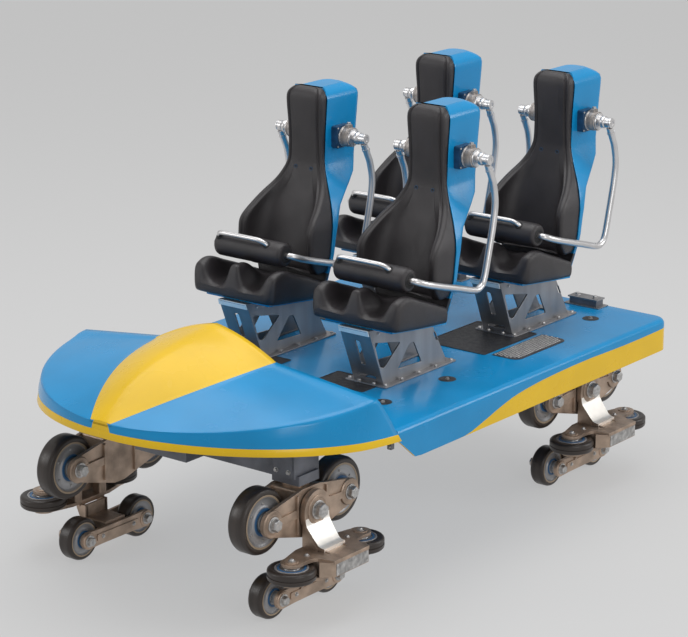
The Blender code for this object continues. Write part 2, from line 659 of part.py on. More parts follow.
def chassis_frame():
    """Spine, axle beams with their king pins, cross members and rear coupler."""
    step_y = DECK_FRONT_Y + SPINE_STEP
    item = box("chassis_frame", (-SPINE_HALF_WIDTH, step_y, FRAME_BOTTOM),
               (SPINE_HALF_WIDTH, SPINE_REAR_Y, FRAME_TOP))
    pieces = [box("front spine", (-SPINE_HALF_WIDTH, SPINE_FRONT_Y, FRAME_BOTTOM),
                  (SPINE_HALF_WIDTH, step_y + SEAM, SPINE_FRONT_TOP))]
    for y in (FRONT_AXLE_Y, REAR_AXLE_Y):
        pieces.append(box("axle beam", (-AXLE_BEAM_HALF_X, y - AXLE_BEAM_HALF_Y,
                                        AXLE_BEAM_BOTTOM),
                          (AXLE_BEAM_HALF_X, y + AXLE_BEAM_HALF_Y, FRAME_TOP)))
        for x in (-RAIL_X, RAIL_X):
            pieces.append(rod("king pin", (x, y, AXLE_BEAM_BOTTOM - KINGPIN_DEPTH),
                              (x, y, AXLE_BEAM_BOTTOM + CUT), KINGPIN_RADIUS,
                              FINE_SIDES))
    for y in CROSS_MEMBERS_Y:
        pieces.append(box("cross member", (-CROSS_MEMBER_HALF_X,
                                           y - CROSS_MEMBER_HALF_Y,
                                           FRAME_TOP - CROSS_MEMBER_HEIGHT),
                          (CROSS_MEMBER_HALF_X, y + CROSS_MEMBER_HALF_Y, FRAME_TOP)))
    pieces.append(box("coupler", (-COUPLER_HALF_X, SPINE_REAR_Y - SEAM,
                                  COUPLER_Z - COUPLER_HALF_Z),
                      (COUPLER_HALF_X, COUPLER_FACE_Y, COUPLER_Z + COUPLER_HALF_Z)))
    combine(item, pieces)
    paint(item, FRAME_PAINT)
    return item


def deck_plan(inset):
    """Deck outline from above with rounded rear corners, drawn in by an inset."""
    half = DECK_HALF_WIDTH - inset
    radius = DECK_CORNER - inset
    centre_x = DECK_HALF_WIDTH - DECK_CORNER
    centre_y = DECK_REAR_Y - DECK_CORNER
    left = arc((centre_x, centre_y), radius, 0, 90, 4)
    right = arc((-centre_x, centre_y), radius, 90, 180, 4)
    return [(half, DECK_FRONT_Y - CUT)] + left + right + [(-half, DECK_FRONT_Y - CUT)]


def deck():
    """Top plate with skirts down both sides and across the rear."""
    slant = [(DECK_FRONT_Y, DECK_TOP), (DECK_FRONT_Y, DECK_SKIRT_BOTTOM + DECK_SLANT_Z),
             (DECK_FRONT_Y + DECK_SLANT_Y, DECK_SKIRT_BOTTOM),
             (DECK_REAR_Y, DECK_SKIRT_BOTTOM)]
    slant += arc((DECK_REAR_Y - DECK_ROUND, DECK_TOP - DECK_ROUND), DECK_ROUND, 0, 90, 3)
    item = plate("deck", slant, "X", -DECK_HALF_WIDTH, DECK_HALF_WIDTH)
    section = [(DECK_HALF_WIDTH, DECK_SKIRT_BOTTOM - CUT)]
    section += arc((DECK_HALF_WIDTH - DECK_ROUND, DECK_TOP - DECK_ROUND),
                   DECK_ROUND, 0, 90, 3)
    section += [(-x, z) for x, z in reversed(section)]
    outer = plate("outer", section, "Y", DECK_FRONT_Y - CUT, DECK_REAR_Y + CUT)
    combine(item, [outer], "INTERSECT")
    plan = plate("plan", deck_plan(0), "Z", DECK_SKIRT_BOTTOM - CUT, DECK_TOP + CUT)
    combine(item, [plan], "INTERSECT")
    hollow = plate("hollow", deck_plan(DECK_PLATE), "Z", DECK_SKIRT_BOTTOM - CUT,
                   DECK_TOP - DECK_PLATE)
    notch_half = COUPLER_HALF_X + COUPLER_PLAY
    notch = box("notch", (-notch_half, DECK_REAR_Y - NOTCH_DEPTH, DECK_SKIRT_BOTTOM - CUT),
                (notch_half, DECK_REAR_Y + CUT, COUPLER_Z + COUPLER_HALF_Z + COUPLER_PLAY))
    combine(item, [hollow, notch], "DIFFERENCE")
    paint(item, BLUE_PAINT)
    return item


def nose_station(angle):
    """Points of one cross section of the nose from the band's foot to the crest."""
    turn = math.radians(angle)
    outline_x = NOSE_RADIUS_X * math.cos(turn)
    y = NOSE_CENTRE_Y - NOSE_RADIUS_Y * math.sin(turn)
    ahead = DECK_FRONT_Y - y
    share = ahead / (DECK_FRONT_Y - NOSE_TIP_Y)
    foot_y = top_y = y
    if angle == 0:
        foot_y = DECK_FRONT_Y - GAP
        top_y = NOSE_REAR_TOP_Y
    foot_z = NOSE_BOTTOM_REAR_Z + NOSE_BOTTOM_RISE * ahead
    edge_z = NOSE_EDGE_REAR_Z + (NOSE_EDGE_TIP_Z - NOSE_EDGE_REAR_Z) * share
    fade = math.cos(turn * NOSE_FADE)
    edge_x = max(outline_x - NOSE_BAND_INSET, outline_x * NOSE_EDGE_SHARE)
    narrowing = (NOSE_HUMP_HALF - NOSE_HUMP_TIP_HALF) * share ** NOSE_HUMP_TAPER
    hump = min(NOSE_HUMP_HALF - narrowing, edge_x * NOSE_HUMP_LIMIT)
    shoulder = edge_z + NOSE_SHOULDER_RISE * fade
    crest = shoulder + NOSE_HUMP_RISE * fade * hump / NOSE_HUMP_HALF
    corner_share, corner_rise = NOSE_CORNER
    ridge_share, ridge_rise = NOSE_HUMP_RIDGE
    half = [
        (outline_x, foot_y, foot_z),
        (edge_x, top_y, edge_z - NOSE_EDGE_DROP),
        (edge_x * corner_share, top_y, edge_z + corner_rise * (shoulder - edge_z)),
        ((edge_x + hump) / 2, top_y, edge_z + NOSE_SIDE_RISE * (shoulder - edge_z)),
        (hump, top_y, shoulder),
        (hump * ridge_share, top_y, shoulder + ridge_rise * (crest - shoulder)),
        (0.0, top_y, crest),
    ]
    return half + [(-x, y, z) for x, y, z in reversed(half[:-1])]


def nose():
    """Open shell: side band and domed top, with a rear wall, thickened inwards."""
    work = bmesh.new()
    rows = [[work.verts.new(point) for point in nose_station(angle)]
            for angle in NOSE_STATIONS]
    for back, front in zip(rows, rows[1:]):
        for i in range(len(back) - 1):
            work.faces.new((back[i], back[i + 1], front[i + 1], front[i]))
    work.faces.new(rows[-1])
    work.faces.new(list(reversed(rows[0])))
    bmesh.ops.recalc_face_normals(work, faces=work.faces)
    item = object_from_bmesh("nose", work)
    skin = item.modifiers.new("Skin", "SOLIDIFY")
    skin.thickness = NOSE_PLATE
    skin.offset = -1.0
    paint(item, BLUE_PAINT)
    return item


def back_ring(level, seat_x, pivot_y):
    """Ring of the back pad at one height."""
    height, half, front, lead, side_rear, rear, _ = level
    wall = min(WING_WALL, half * WING_WALL_SHARE)
    ring = mirrored_ring([
        (0.0, front),
        (half * BACK_HOLLOW, front - BACK_HOLLOW_RISE * (front - lead)),
        (half - wall * WING_ROOT, front - WING_ROOT_RISE * (front - lead)),
        (half - wall, lead + WING_TIP_INNER),
        (half, lead + WING_TIP_OUTER),
        (half, side_rear),
        (half * BACK_REAR_SHARE, rear),
        (0.0, rear),
    ])
    return [(seat_x + x, pivot_y + y, height) for x, y in ring]


def back_pad(label, seat_x, pivot_y):
    item = loft(f"back_pad_{label}",
                [back_ring(level, seat_x, pivot_y) for level in BACK_LEVELS])
    paint(item, FOAM_SKIN)
    return item


def shell_ring(level, seat_x, pivot_y):
    """Ring of the seat shell at one height, behind the back pad."""
    height, half, _, _, side_rear, rear, shell_rear = level
    outer = half + SHELL_SKIN
    corner = min(SHELL_CORNER, (shell_rear - side_rear) / 2)
    ring = mirrored_ring([
        (0.0, rear + SHELL_GAP),
        (half * BACK_REAR_SHARE, rear + SHELL_GAP),
        (half, side_rear + SHELL_GAP),
        (outer, side_rear + SHELL_GAP),
        (outer, shell_rear - corner),
        (outer - corner, shell_rear),
        (0.0, shell_rear),
    ])
    return [(seat_x + x, pivot_y + y, height) for x, y in ring]


def pad_underside(y):
    """Height of the seat pad's underside at a distance from the pivot."""
    front, rear = PAD_STATIONS[0][0], PAD_STATIONS[-1][0]
    slope = (PAD_REAR_UNDERSIDE - PAD_FRONT_UNDERSIDE) / (rear - front)
    return PAD_FRONT_UNDERSIDE + slope * (y - front)


def seat_shell(label, seat_x, pivot_y):
    """Back shell, base plate under the pad, and the lap bar's pivot housings."""
    foot = (SHELL_FOOT_Z, SHELL_FOOT_HALF, 0.0, 0.0, SHELL_FOOT_FRONT,
            SHELL_FOOT_FRONT, SHELL_FOOT_REAR)
    levels = (foot,) + BACK_LEVELS
    item = loft(f"seat_shell_{label}",
                [shell_ring(level, seat_x, pivot_y) for level in levels], lean=-1)
    front = PAD_STATIONS[0][0] + BASE_FRONT_OFFSET
    rear = SHELL_FOOT_FRONT + BASE_LAP
    base = [(pivot_y + y, pad_underside(y) - GAP - drop)
            for y, drop in ((front, 0), (rear, 0), (rear, BASE_PLATE),
                            (front, BASE_PLATE))]
    pieces = [plate("base", base, "X", seat_x - BASE_HALF_WIDTH,
                    seat_x + BASE_HALF_WIDTH)]
    block = PIVOT_BLOCK_HALF
    pieces.append(box("block", (seat_x - PIVOT_BLOCK_X, pivot_y + PIVOT_BLOCK_FRONT,
                                PIVOT_Z - block),
                      (seat_x + PIVOT_BLOCK_X, pivot_y + PIVOT_BLOCK_REAR,
                       PIVOT_Z + block)))
    pieces.append(rod("housing", (seat_x - PIVOT_HOUSING_X, pivot_y, PIVOT_Z),
                      (seat_x + PIVOT_HOUSING_X, pivot_y, PIVOT_Z),
                      PIVOT_HOUSING_RADIUS, FINE_SIDES))
    combine(item, pieces)
    paint(item, BLUE_PAINT)
    return item


def seat_pad(label, seat_x, pivot_y):
    """Seat cushion with two leg troughs and a hump between them."""
    rings = []
    for y, hump, trough, bolster, half in PAD_STATIONS:
        heights = {"hump": hump, "trough": trough, "bolster": bolster}
        bottom = pad_underside(y)
        half_ring = [(x, heights[level] + offset) for x, level, offset in PAD_SECTION]
        ring = mirrored_ring(half_ring + [
            (half - PAD_SIDE_INSET, bolster),
            (half, bolster - PAD_SIDE_DROP),
            (half - PAD_SIDE_INSET, bottom),
            (0.0, bottom),
        ])
        rings.append([(seat_x + x, pivot_y + y, z) for x, z in ring])
    item = loft(f"seat_pad_{label}", rings)
    paint(item, FOAM_SKIN)
    return item


def pedestal(label, seat_x, pivot_y):
    """Folded steel stand: two side plates with triangular cut-outs, front plate,
    top plate and foot flange."""
    foot_z = DECK_TOP + GAP
    top = -BASE_PLATE - 2 * GAP
    front_top = pad_underside(PEDESTAL_FRONT_TOP) + top
    rear_top = pad_underside(PEDESTAL_REAR_TOP) + top
    half = PEDESTAL_HALF_WIDTH
    side = [(pivot_y + PEDESTAL_FRONT_FOOT, foot_z),
            (pivot_y + PEDESTAL_REAR_FOOT, foot_z),
            (pivot_y + PEDESTAL_REAR_TOP, rear_top),
            (pivot_y + PEDESTAL_FRONT_TOP, front_top)]
    item = plate(f"pedestal_{label}", side, "X", seat_x - half, seat_x + half)
    skin = PEDESTAL_FRONT_PLATE
    inner = [(pivot_y + PEDESTAL_FRONT_FOOT + skin, foot_z - skin),
             (pivot_y + PEDESTAL_REAR_FOOT + PEDESTAL_MOUTH, foot_z - skin),
             (pivot_y + PEDESTAL_REAR_TOP + PEDESTAL_MOUTH, rear_top - skin),
             (pivot_y + PEDESTAL_FRONT_TOP + skin, front_top - skin)]
    hollow = plate("hollow", inner, "X", seat_x - half + PEDESTAL_PLATE,
                   seat_x + half - PEDESTAL_PLATE)
    combine(item, [hollow], "DIFFERENCE")
    flange = box("flange", (seat_x - half - PEDESTAL_FLANGE_MARGIN,
                            pivot_y + PEDESTAL_FRONT_FOOT - PEDESTAL_FLANGE_MARGIN,
                            foot_z),
                 (seat_x + half + PEDESTAL_FLANGE_MARGIN,
                  pivot_y + PEDESTAL_REAR_FOOT + PEDESTAL_FLANGE_MARGIN,
                  foot_z + PEDESTAL_FLANGE))
    combine(item, [flange])
    web = PEDESTAL_WEB
    low_z = foot_z + web * PEDESTAL_LOW_STRIP
    lean = PEDESTAL_FRONT_FOOT - PEDESTAL_FRONT_TOP
    rise = front_top - foot_z
    middle = (PEDESTAL_FRONT_FOOT + PEDESTAL_REAR_FOOT) / 2
    front_strip, top_strip, low_strip = PEDESTAL_FRONT_STRIPS
    high_y = PEDESTAL_FRONT_FOOT - lean * PEDESTAL_HIGH_CORNER
    low_y = PEDESTAL_FRONT_FOOT - lean * (low_z - foot_z) / rise
    upper = [(pivot_y + high_y + web, front_top - web * front_strip),
             (pivot_y + middle - PEDESTAL_FRONT_REACH, rear_top - web * top_strip),
             (pivot_y + low_y + web * low_strip, low_z + PEDESTAL_FRONT_LIFT)]
    behind, under, ahead, after = PEDESTAL_REAR_STRIPS
    lower = [(pivot_y + middle + web * behind, rear_top - web * under),
             (pivot_y + PEDESTAL_REAR_FOOT - web * ahead, low_z + PEDESTAL_REAR_LIFT),
             (pivot_y + PEDESTAL_FRONT_FOOT + web * after, low_z)]
    cutters = [plate("cut", outline, "X", seat_x - half - CUT, seat_x + half + CUT)
               for outline in (upper, lower)]
    combine(item, cutters, "DIFFERENCE")
    paint(item, BRIGHT_STEEL)
    return item


def lap_frame(label, seat_x, pivot_y):
    """Bent tube from knob to knob, through the lap roll."""
    right = [(seat_x + x, pivot_y + y, z) for x, y, z in ARM_ROUTE]
    left = [(seat_x - x, pivot_y + y, z) for x, y, z in reversed(ARM_ROUTE)]
    item = tube(f"lap_frame_{label}", right + left, TUBE_RADIUS)
    knobs = [rod("knob", (seat_x + side * KNOB_INNER_X, pivot_y, PIVOT_Z),
                 (seat_x + side * KNOB_OUTER_X, pivot_y, PIVOT_Z), KNOB_RADIUS,
                 FINE_SIDES)
             for side in (-1, 1)]
    combine(item, knobs)
    set_origin(item, (seat_x, pivot_y, PIVOT_Z))
    paint(item, CHROME)
    return item


def lap_roll(label, seat_x, pivot_y):
    """Foam roll round the tube, with the grab handle across its front."""
    half = ROLL_HALF_LENGTH
    bore = TUBE_RADIUS + GAP * 2
    edge = ROLL_EDGE
    profile = [(bore, half), (ROLL_RADIUS - edge, half), (ROLL_RADIUS, half - edge),
               (ROLL_RADIUS, edge - half), (ROLL_RADIUS - edge, -half), (bore, -half)]
    item = turned(f"lap_roll_{label}", profile, ROLL_SIDES, True)
    item.data.transform(Matrix.Translation((seat_x, pivot_y + ROLL_Y, ROLL_Z))
                        @ Matrix.Rotation(math.pi / 2, 4, "Y"))
    angle = math.radians(HANDLE_ANGLE)
    route = [(seat_x + x, pivot_y + ROLL_Y - (ROLL_RADIUS + reach) * math.cos(angle),
              ROLL_Z + (ROLL_RADIUS + reach) * math.sin(angle))
             for x, reach in HANDLE_ROUTE]
    combine(item, [tube("handle", route, HANDLE_RADIUS, 1)])
    set_origin(item, (seat_x, pivot_y, PIVOT_Z))
    paint(item, FOAM_SKIN)
    return item


def set_origin(item, place):
    """Move the object's origin to a place, leaving its surface where it is."""
    item.data.transform(Matrix.Translation(-Vector(place)))
    item.location = place


def seat(label, side, row):
    seat_x = side * SEAT_HALF_SPACING
    pivot_y = FRONT_PIVOT_Y + row * ROW_SPACING
    pedestal(label, seat_x, pivot_y)
    seat_shell(label, seat_x, pivot_y)
    seat_pad(label, seat_x, pivot_y)
    back_pad(label, seat_x, pivot_y)
    lap_frame(label, seat_x, pivot_y)
    lap_roll(label, seat_x, pivot_y)


def main():
    chassis_frame()
    deck()
    nose()
    for side_name, side in (("left", 1), ("right", -1)):
        for row_name, row in (("front", 0), ("rear", 1)):
            seat(f"{row_name}_{side_name}", side, row)
            carrier(f"{row_name}_{side_name}", side, (FRONT_AXLE_Y, REAR_AXLE_Y)[row])


clear_scene()
PARTS = make_collection("roller_coaster_car")
main()
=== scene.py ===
"""Looks of the four-seat roller coaster car.

Metres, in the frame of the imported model: nose to -Y, the car's left to +X, +Z up,
standing on its up-stop wheels.
"""
import json
import math

import bmesh
import bpy
from mathutils import Matrix, Vector


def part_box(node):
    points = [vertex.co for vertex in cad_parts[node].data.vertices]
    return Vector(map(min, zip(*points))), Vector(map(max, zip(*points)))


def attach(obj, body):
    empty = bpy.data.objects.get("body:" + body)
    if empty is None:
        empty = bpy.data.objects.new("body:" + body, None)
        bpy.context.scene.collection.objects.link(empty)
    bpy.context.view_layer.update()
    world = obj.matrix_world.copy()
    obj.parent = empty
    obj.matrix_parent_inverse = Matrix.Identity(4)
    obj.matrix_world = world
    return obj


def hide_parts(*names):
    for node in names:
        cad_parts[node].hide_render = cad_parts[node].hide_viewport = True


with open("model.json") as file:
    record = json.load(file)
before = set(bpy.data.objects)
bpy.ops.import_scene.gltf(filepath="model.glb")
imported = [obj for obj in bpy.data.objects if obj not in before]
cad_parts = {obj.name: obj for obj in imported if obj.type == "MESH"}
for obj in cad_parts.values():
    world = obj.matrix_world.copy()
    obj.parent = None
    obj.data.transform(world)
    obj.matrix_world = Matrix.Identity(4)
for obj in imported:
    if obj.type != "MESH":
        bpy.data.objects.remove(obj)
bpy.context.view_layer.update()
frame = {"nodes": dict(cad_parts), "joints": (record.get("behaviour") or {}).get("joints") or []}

bl_info = {
    "name": "Roller Coaster Car",
    "version": (1, 0, 0),
    "blender": (4, 5, 0),
    "location": "View3D > Sidebar > Coaster Car",
    "description": "Builds the looks of a four-seat roller coaster car",
    "category": "Add Mesh",
}

JOINTS = {joint["child"]: Vector(joint["pos_m"]) for joint in frame["joints"]}
SIDES = (("left", 1), ("right", -1))
ROWS = ("front", "rear")
LABELS = [(f"{row}_{side}", sign) for side, sign in SIDES for row in ROWS]
LEFTWARD, FORWARD, REARWARD = (1, 0, 0), (0, -1, 0), (0, 1, 0)
UP, DOWN = (0, 0, 1), (0, 0, -1)
MILLIMETRE = 0.001


# Mesh tools

BEVEL_ANGLE = math.radians(35)
CORNER_SHARE = 0.45          # most of a side that a rounded corner takes
PLATE_HALF, PLATE_EDGE = 0.004, 0.0015        # folded plates: half thickness, edge round


def axes_of(direction):
    """Two directions square to this one, and this one, each one metre long."""
    along = Vector(direction).normalized()
    helper = Vector((0, 0, 1)) if abs(along.z) < 0.9 else Vector((1, 0, 0))
    first = helper.cross(along).normalized()
    return first, along.cross(first), along


def mm(*rows):
    """Rows of millimetres as rows of metres."""
    return [tuple(value * MILLIMETRE for value in row) for row in rows]


def new_face(work, verts, slot=0):
    """Face in the finish that the slot gives."""
    face = work.faces.new(verts)
    face.material_index = slot
    return face


def skin_rings(work, rings, closed=True, caps=True, slot=0):
    """Joins rings of points with faces. A slot may be a list, one for each step round."""
    rows = [[work.verts.new(point) for point in ring] for ring in rings]
    count = len(rows[0])
    slots = slot if isinstance(slot, list) else [slot] * count
    made = []
    for low, high in zip(rows, rows[1:]):
        for i in range(count if closed else count - 1):
            j = (i + 1) % count
            made.append(new_face(work, (low[i], low[j], high[j], high[i]), slots[i]))
    if caps:
        made += [new_face(work, row, slots[0]) for row in (rows[0], rows[-1])]
    bmesh.ops.recalc_face_normals(work, faces=made)
    return made


def add_prism(work, outline, axis, low, high, slot=0):
    """Outline in the plane square to an axis, drawn out from low to high along it."""
    place = {"X": lambda a, b, h: (h, a, b),
             "Y": lambda a, b, h: (a, h, b),
             "Z": lambda a, b, h: (a, b, h)}[axis]
    rings = [[place(a, b, h) for a, b in outline] for h in sorted((low, high))]
    return skin_rings(work, rings, slot=slot)


def add_box(work, first, second, slot=0):
    """Box between two opposite corners."""
    low, high = tuple(map(min, first, second)), tuple(map(max, first, second))
    return add_prism(work, oblong(low[:2], high[:2]), "Z", low[2], high[2], slot)


def add_lathe(work, profile, centre, axis, sides=32, slot=0, turn=0.0):
    """Turns a profile of radius, height and perhaps finish round an axis. Ends on the
    axis close; a profile with both ends off it closes on itself."""
    first, second, along = axes_of(axis)
    centre = Vector(centre)
    rows = []
    for radius, height, *_ in profile:
        middle = centre + along * height
        if radius == 0:
            rows.append([work.verts.new(middle)])
            continue
        rows.append([work.verts.new(middle + radius * (
            first * math.cos(turn + math.tau * i / sides)
            + second * math.sin(turn + math.tau * i / sides))) for i in range(sides)])
    made = []
    pairs = list(zip(rows, rows[1:], profile))
    if len(rows[0]) > 1 and len(rows[-1]) > 1:
        pairs.append((rows[-1], rows[0], profile[-1]))
    for low, high, point in pairs:
        index = point[2] if len(point) > 2 else slot
        for i in range(sides):
            j = (i + 1) % sides
            ring = (low[i % len(low)], low[j % len(low)], high[j % len(high)],
                    high[i % len(high)])
            made.append(new_face(work, list(dict.fromkeys(ring)), index))
    bmesh.ops.recalc_face_normals(work, faces=made)
    return made


def smooth_path(points, steps):
    """Points on a smooth curve through the given ones."""
    points = [Vector(point) for point in points]
    ends = [2 * points[0] - points[1]] + points + [2 * points[-1] - points[-2]]
    found = []
    for i in range(1, len(ends) - 2):
        a, b, c, d = ends[i - 1:i + 3]
        for k in range(steps):
            t = k / steps
            found.append(0.5 * (2 * b + (c - a) * t + (2 * a - 5 * b + 4 * c - d) * t ** 2
                                + (3 * b - a - 3 * c + d) * t ** 3))
    return found + [points[-1]]


def add_tube(work, path, radius, sides=16, slot=0, caps=True):
    """Round tube along a path; radius is a number or one for each point."""
    path = [Vector(point) for point in path]
    radii = radius if isinstance(radius, list) else [radius] * len(path)
    first, second, along = axes_of(path[1] - path[0])
    rings = []
    for i, point in enumerate(path):
        ahead = path[min(i + 1, len(path) - 1)] - path[max(i - 1, 0)]
        bend = along.rotation_difference(ahead.normalized())
        first, along = bend @ first, ahead.normalized()
        second = along.cross(first)
        rings.append([point + radii[i] * (first * math.cos(math.tau * k / sides)
                                          + second * math.sin(math.tau * k / sides))
                      for k in range(sides)])
    return skin_rings(work, rings, caps=caps, slot=slot)


def arc(centre, radius, start, stop, steps):
    """Points on an arc, angles in degrees."""
    return [(centre[0] + radius * math.cos(math.radians(start + (stop - start) * k / steps)),
             centre[1] + radius * math.sin(math.radians(start + (stop - start) * k / steps)))
            for k in range(steps + 1)]


def oblong(low, high, radius=0.0, steps=4):
    """Rectangle between two corners, its own corners rounded off."""
    outline = [low, (high[0], low[1]), high, (low[0], high[1])]
    return rounded(outline, radius, steps) if radius else outline


def rounded(outline, radius, steps=4):
    """Outline with its corners rounded off."""
    found = []
    count = len(outline)
    for i in range(count):
        here = Vector(outline[i])
        back = Vector(outline[i - 1]) - here
        front = Vector(outline[(i + 1) % count]) - here
        cut = min(radius, back.length * CORNER_SHARE, front.length * CORNER_SHARE)
        start = here + back.normalized() * cut
        stop = here + front.normalized() * cut
        for k in range(steps + 1):
            t = k / steps
            found.append(tuple((1 - t) ** 2 * start + 2 * t * (1 - t) * here + t ** 2 * stop))
    return found


# Bolts, in shares of half the width across flats: the washer's height and the head's
# height over it, and for a domed head radius and height over the washer
WASHER_HEIGHT, HEAD_HEIGHT = 0.22, 0.95
DOME = ((1.0, 0.0), (0.97, 0.35), (0.75, 0.70))
WASHER_RIM = 0.93            # share of the washer's radius that its flat top takes
HEXAGON_TURN = 0.3           # radians


def add_bolt(work, place, axis, size, slot, washer=1.5, dome=False):
    """Hexagon bolt head, or a domed one, on a washer; size is half across flats."""
    plate = size * WASHER_HEIGHT
    add_lathe(work, [(0, 0), (size * washer, 0), (size * washer, plate * 0.7),
                     (size * washer * WASHER_RIM, plate), (0, plate)], place, axis, 20, slot)
    top = plate + size * HEAD_HEIGHT
    if dome:
        profile = [(size * radius, plate + size * height) for radius, height in DOME]
        add_lathe(work, profile + [(size * 0.35, top * 0.93), (0, top * 0.95)], place, axis,
                  18, slot)
        return
    corner = size / math.cos(math.pi / 6)
    add_lathe(work, [(0, plate * 0.9), (corner, plate * 0.9), (corner, top - size * 0.16),
                     (corner * 0.88, top), (size * 0.45, top), (size * 0.38, top * 0.97),
                     (0, top * 0.97)], place, axis, 6, slot, HEXAGON_TURN)


def to_mesh(work, name, finishes, angle=38, mirror=False):
    """Mesh from the work, smooth but for edges sharper than the angle. What is built for
    the left is mirrored for the right."""
    if mirror:
        bmesh.ops.scale(work, vec=(-1, 1, 1), verts=work.verts)
        bmesh.ops.reverse_faces(work, faces=work.faces)
    mesh = bpy.data.meshes.new(name)
    work.to_mesh(mesh)
    work.free()
    for finish in finishes:
        mesh.materials.append(bpy.data.materials[finish])
    mesh.polygons.foreach_set("use_smooth", [True] * len(mesh.polygons))
    mesh.set_sharp_from_angle(angle=math.radians(angle))
    mesh.update()
    return mesh


def put(name, mesh, body, nodes=(), place=(0, 0, 0), bevel=0.0, levels=0, turn=None):
    """Places a piece, with its modifiers, on a body."""
    item = bpy.data.objects.new(name, mesh)
    bpy.context.scene.collection.objects.link(item)
    item.location = place
    if turn:
        item.rotation_euler = turn
    if bevel:
        edge = item.modifiers.new("Edges", "BEVEL")
        edge.width = bevel
        edge.segments = 2
        edge.limit_method = "ANGLE"
        edge.angle_limit = BEVEL_ANGLE
        edge.harden_normals = False
        weigh = item.modifiers.new("Normals", "WEIGHTED_NORMAL")
        weigh.keep_sharp = False
    if levels:
        smooth = item.modifiers.new("Smooth", "SUBSURF")
        smooth.levels = levels
        smooth.render_levels = levels
    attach(item, body)
    if nodes:
        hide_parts(*nodes)
    return item


def put_on_car(name, work, finishes, angle=35, bevel=0.0):
    """Places a piece that exists in the render only on the car's body."""
    return put(name, to_mesh(work, name, finishes, angle), "car", bevel=bevel)


def plate_mesh(name, outline, holes):
    """Flat plate with holes, lying in X and Y, as a mesh."""
    curve = bpy.data.curves.new(name, "CURVE")
    curve.dimensions = "2D"
    curve.fill_mode = "BOTH"
    curve.extrude = PLATE_HALF - PLATE_EDGE
    curve.bevel_depth = PLATE_EDGE
    curve.bevel_resolution = 1
    curve.offset = -PLATE_EDGE
    for ring in [outline] + list(holes):
        line = curve.splines.new("POLY")
        line.points.add(len(ring) - 1)
        for point, (u, v) in zip(line.points, ring):
            point.co = (u, v, 0, 1)
        line.use_cyclic_u = True
    item = bpy.data.objects.new(name, curve)
    bpy.context.scene.collection.objects.link(item)
    depsgraph = bpy.context.evaluated_depsgraph_get()
    mesh = bpy.data.meshes.new_from_object(item.evaluated_get(depsgraph))
    bpy.data.objects.remove(item, do_unlink=True)
    bpy.data.curves.remove(curve)
    return mesh


def add_mesh(work, mesh, matrix, slot=0):
    """Adds a mesh, moved by the matrix, to the work."""
    known = len(work.verts)
    faces = len(work.faces)
    work.from_mesh(mesh)
    work.verts.ensure_lookup_table()
    work.faces.ensure_lookup_table()
    bmesh.ops.transform(work, matrix=matrix, verts=work.verts[known:])
    for face in work.faces[faces:]:
        face.material_index = slot


# Finishes: name, colour property, light shade, dark shade, mottling per metre, metallic,
# least roughness, greatest roughness, coat, grain per metre, depth of the grain in
# millimetres, way it runs
FINISHES = (
    ("blue_paint", "blue", 1.06, 0.92, 3, 0, 0.2, 0.29, 0.15, 160, 0.003, "even"),
    ("yellow_paint", "yellow", 1.04, 0.93, 3, 0, 0.24, 0.32, 0.1, 160, 0.003, "even"),
    ("foam_skin", "foam", 1.2, 0.8, 9, 0, 0.32, 0.44, 0, 900, 0.35, "pebble"),
    ("bronze_cast", "bronze", 1.24, 0.58, 9, 0.7, 0.32, 0.5, 0, 420, 0.3, "even"),
    # Painted highlight: a near-white cream for the lit upper face of each bent bracket and for
    # the stands' front lips
    ("painted_highlight_plate", "plate", 1.03, 0.92, 22, 0.55, 0.36, 0.46, 0, 300, 0.12, "even"),
    ("galvanised_plate", "zinc", 1.2, 0.6, 38, 0.8, 0.34, 0.6, 0, 160, 0.2, "spangle"),
    ("brushed_steel", "steel", 1.12, 0.76, 9, 0.8, 0.34, 0.5, 0, 240, 0.06, "brushed"),
    ("chrome_tube", "chrome", 1.04, 0.92, 14, 1, 0.32, 0.38, 0, 60, 0.003, "even"),
    ("zinc_bolt", "bolt", 1.15, 0.7, 60, 0.8, 0.26, 0.42, 0, 400, 0.03, "even"),
    ("tyre_rubber", "tyre", 1.35, 0.65, 30, 0, 0.28, 0.42, 0, 260, 0.35, "turned"),
    ("tyre_lip", "lip", 1.15, 0.75, 40, 0, 0.4, 0.6, 0, 300, 0.1, "turned"),
    ("hub_cast", "hub", 1.12, 0.7, 26, 0.55, 0.3, 0.5, 0, 380, 0.15, "turned"),
    ("blue_seal", "seal", 1.15, 0.75, 40, 0, 0.28, 0.45, 0.2, 400, 0.05, "turned"),
    ("housing_cast", "housing", 1.25, 0.6, 30, 0.65, 0.36, 0.58, 0, 520, 0.25, "even"),
    # Blue in painted shade: a darker copy of the body blue, for the pivot blocks that sit in the
    # shell's shadow and for the pad's screws
    ("blue_in_painted_shade", "painted_shade_blue", 1.3, 0.7, 30, 0.1, 0.32, 0.5, 0.1, 500, 0.08, "even"),
    ("mat_rubber", "rubber", 1.3, 0.7, 24, 0, 0.42, 0.62, 0, 0, 2.2, "studs"),
    ("frame_paint", "frame", 1.25, 0.6, 7, 0.15, 0.4, 0.62, 0, 320, 0.18, "even"),
    ("pressed_plate", "rubber", 4.6, 2.4, 20, 0.7, 0.4, 0.55, 0, 300, 0.08, "even"),
    # Black in painted shade: the rubber's real black, darkened further as painted shade for the
    # screw holes, the handle's sockets and the roll's end discs
    ("black_in_painted_shade", "rubber", 0.6, 0.3, 20, 0, 0.6, 0.8, 0, 300, 0.1, "even"),
)


def link_noise(tree, vector, scale, detail, low, high):
    """Noise stretched to run from 0 to 1 between two levels."""
    noise = tree.nodes.new("ShaderNodeTexNoise")
    noise.inputs["Scale"].default_value = scale
    noise.inputs["Detail"].default_value = detail
    tree.links.new(vector, noise.inputs["Vector"])
    span = tree.nodes.new("ShaderNodeMapRange")
    span.inputs["From Min"].default_value = low
    span.inputs["From Max"].default_value = high
    tree.links.new(noise.outputs[0], span.inputs["Value"])
    return span.outputs["Result"]


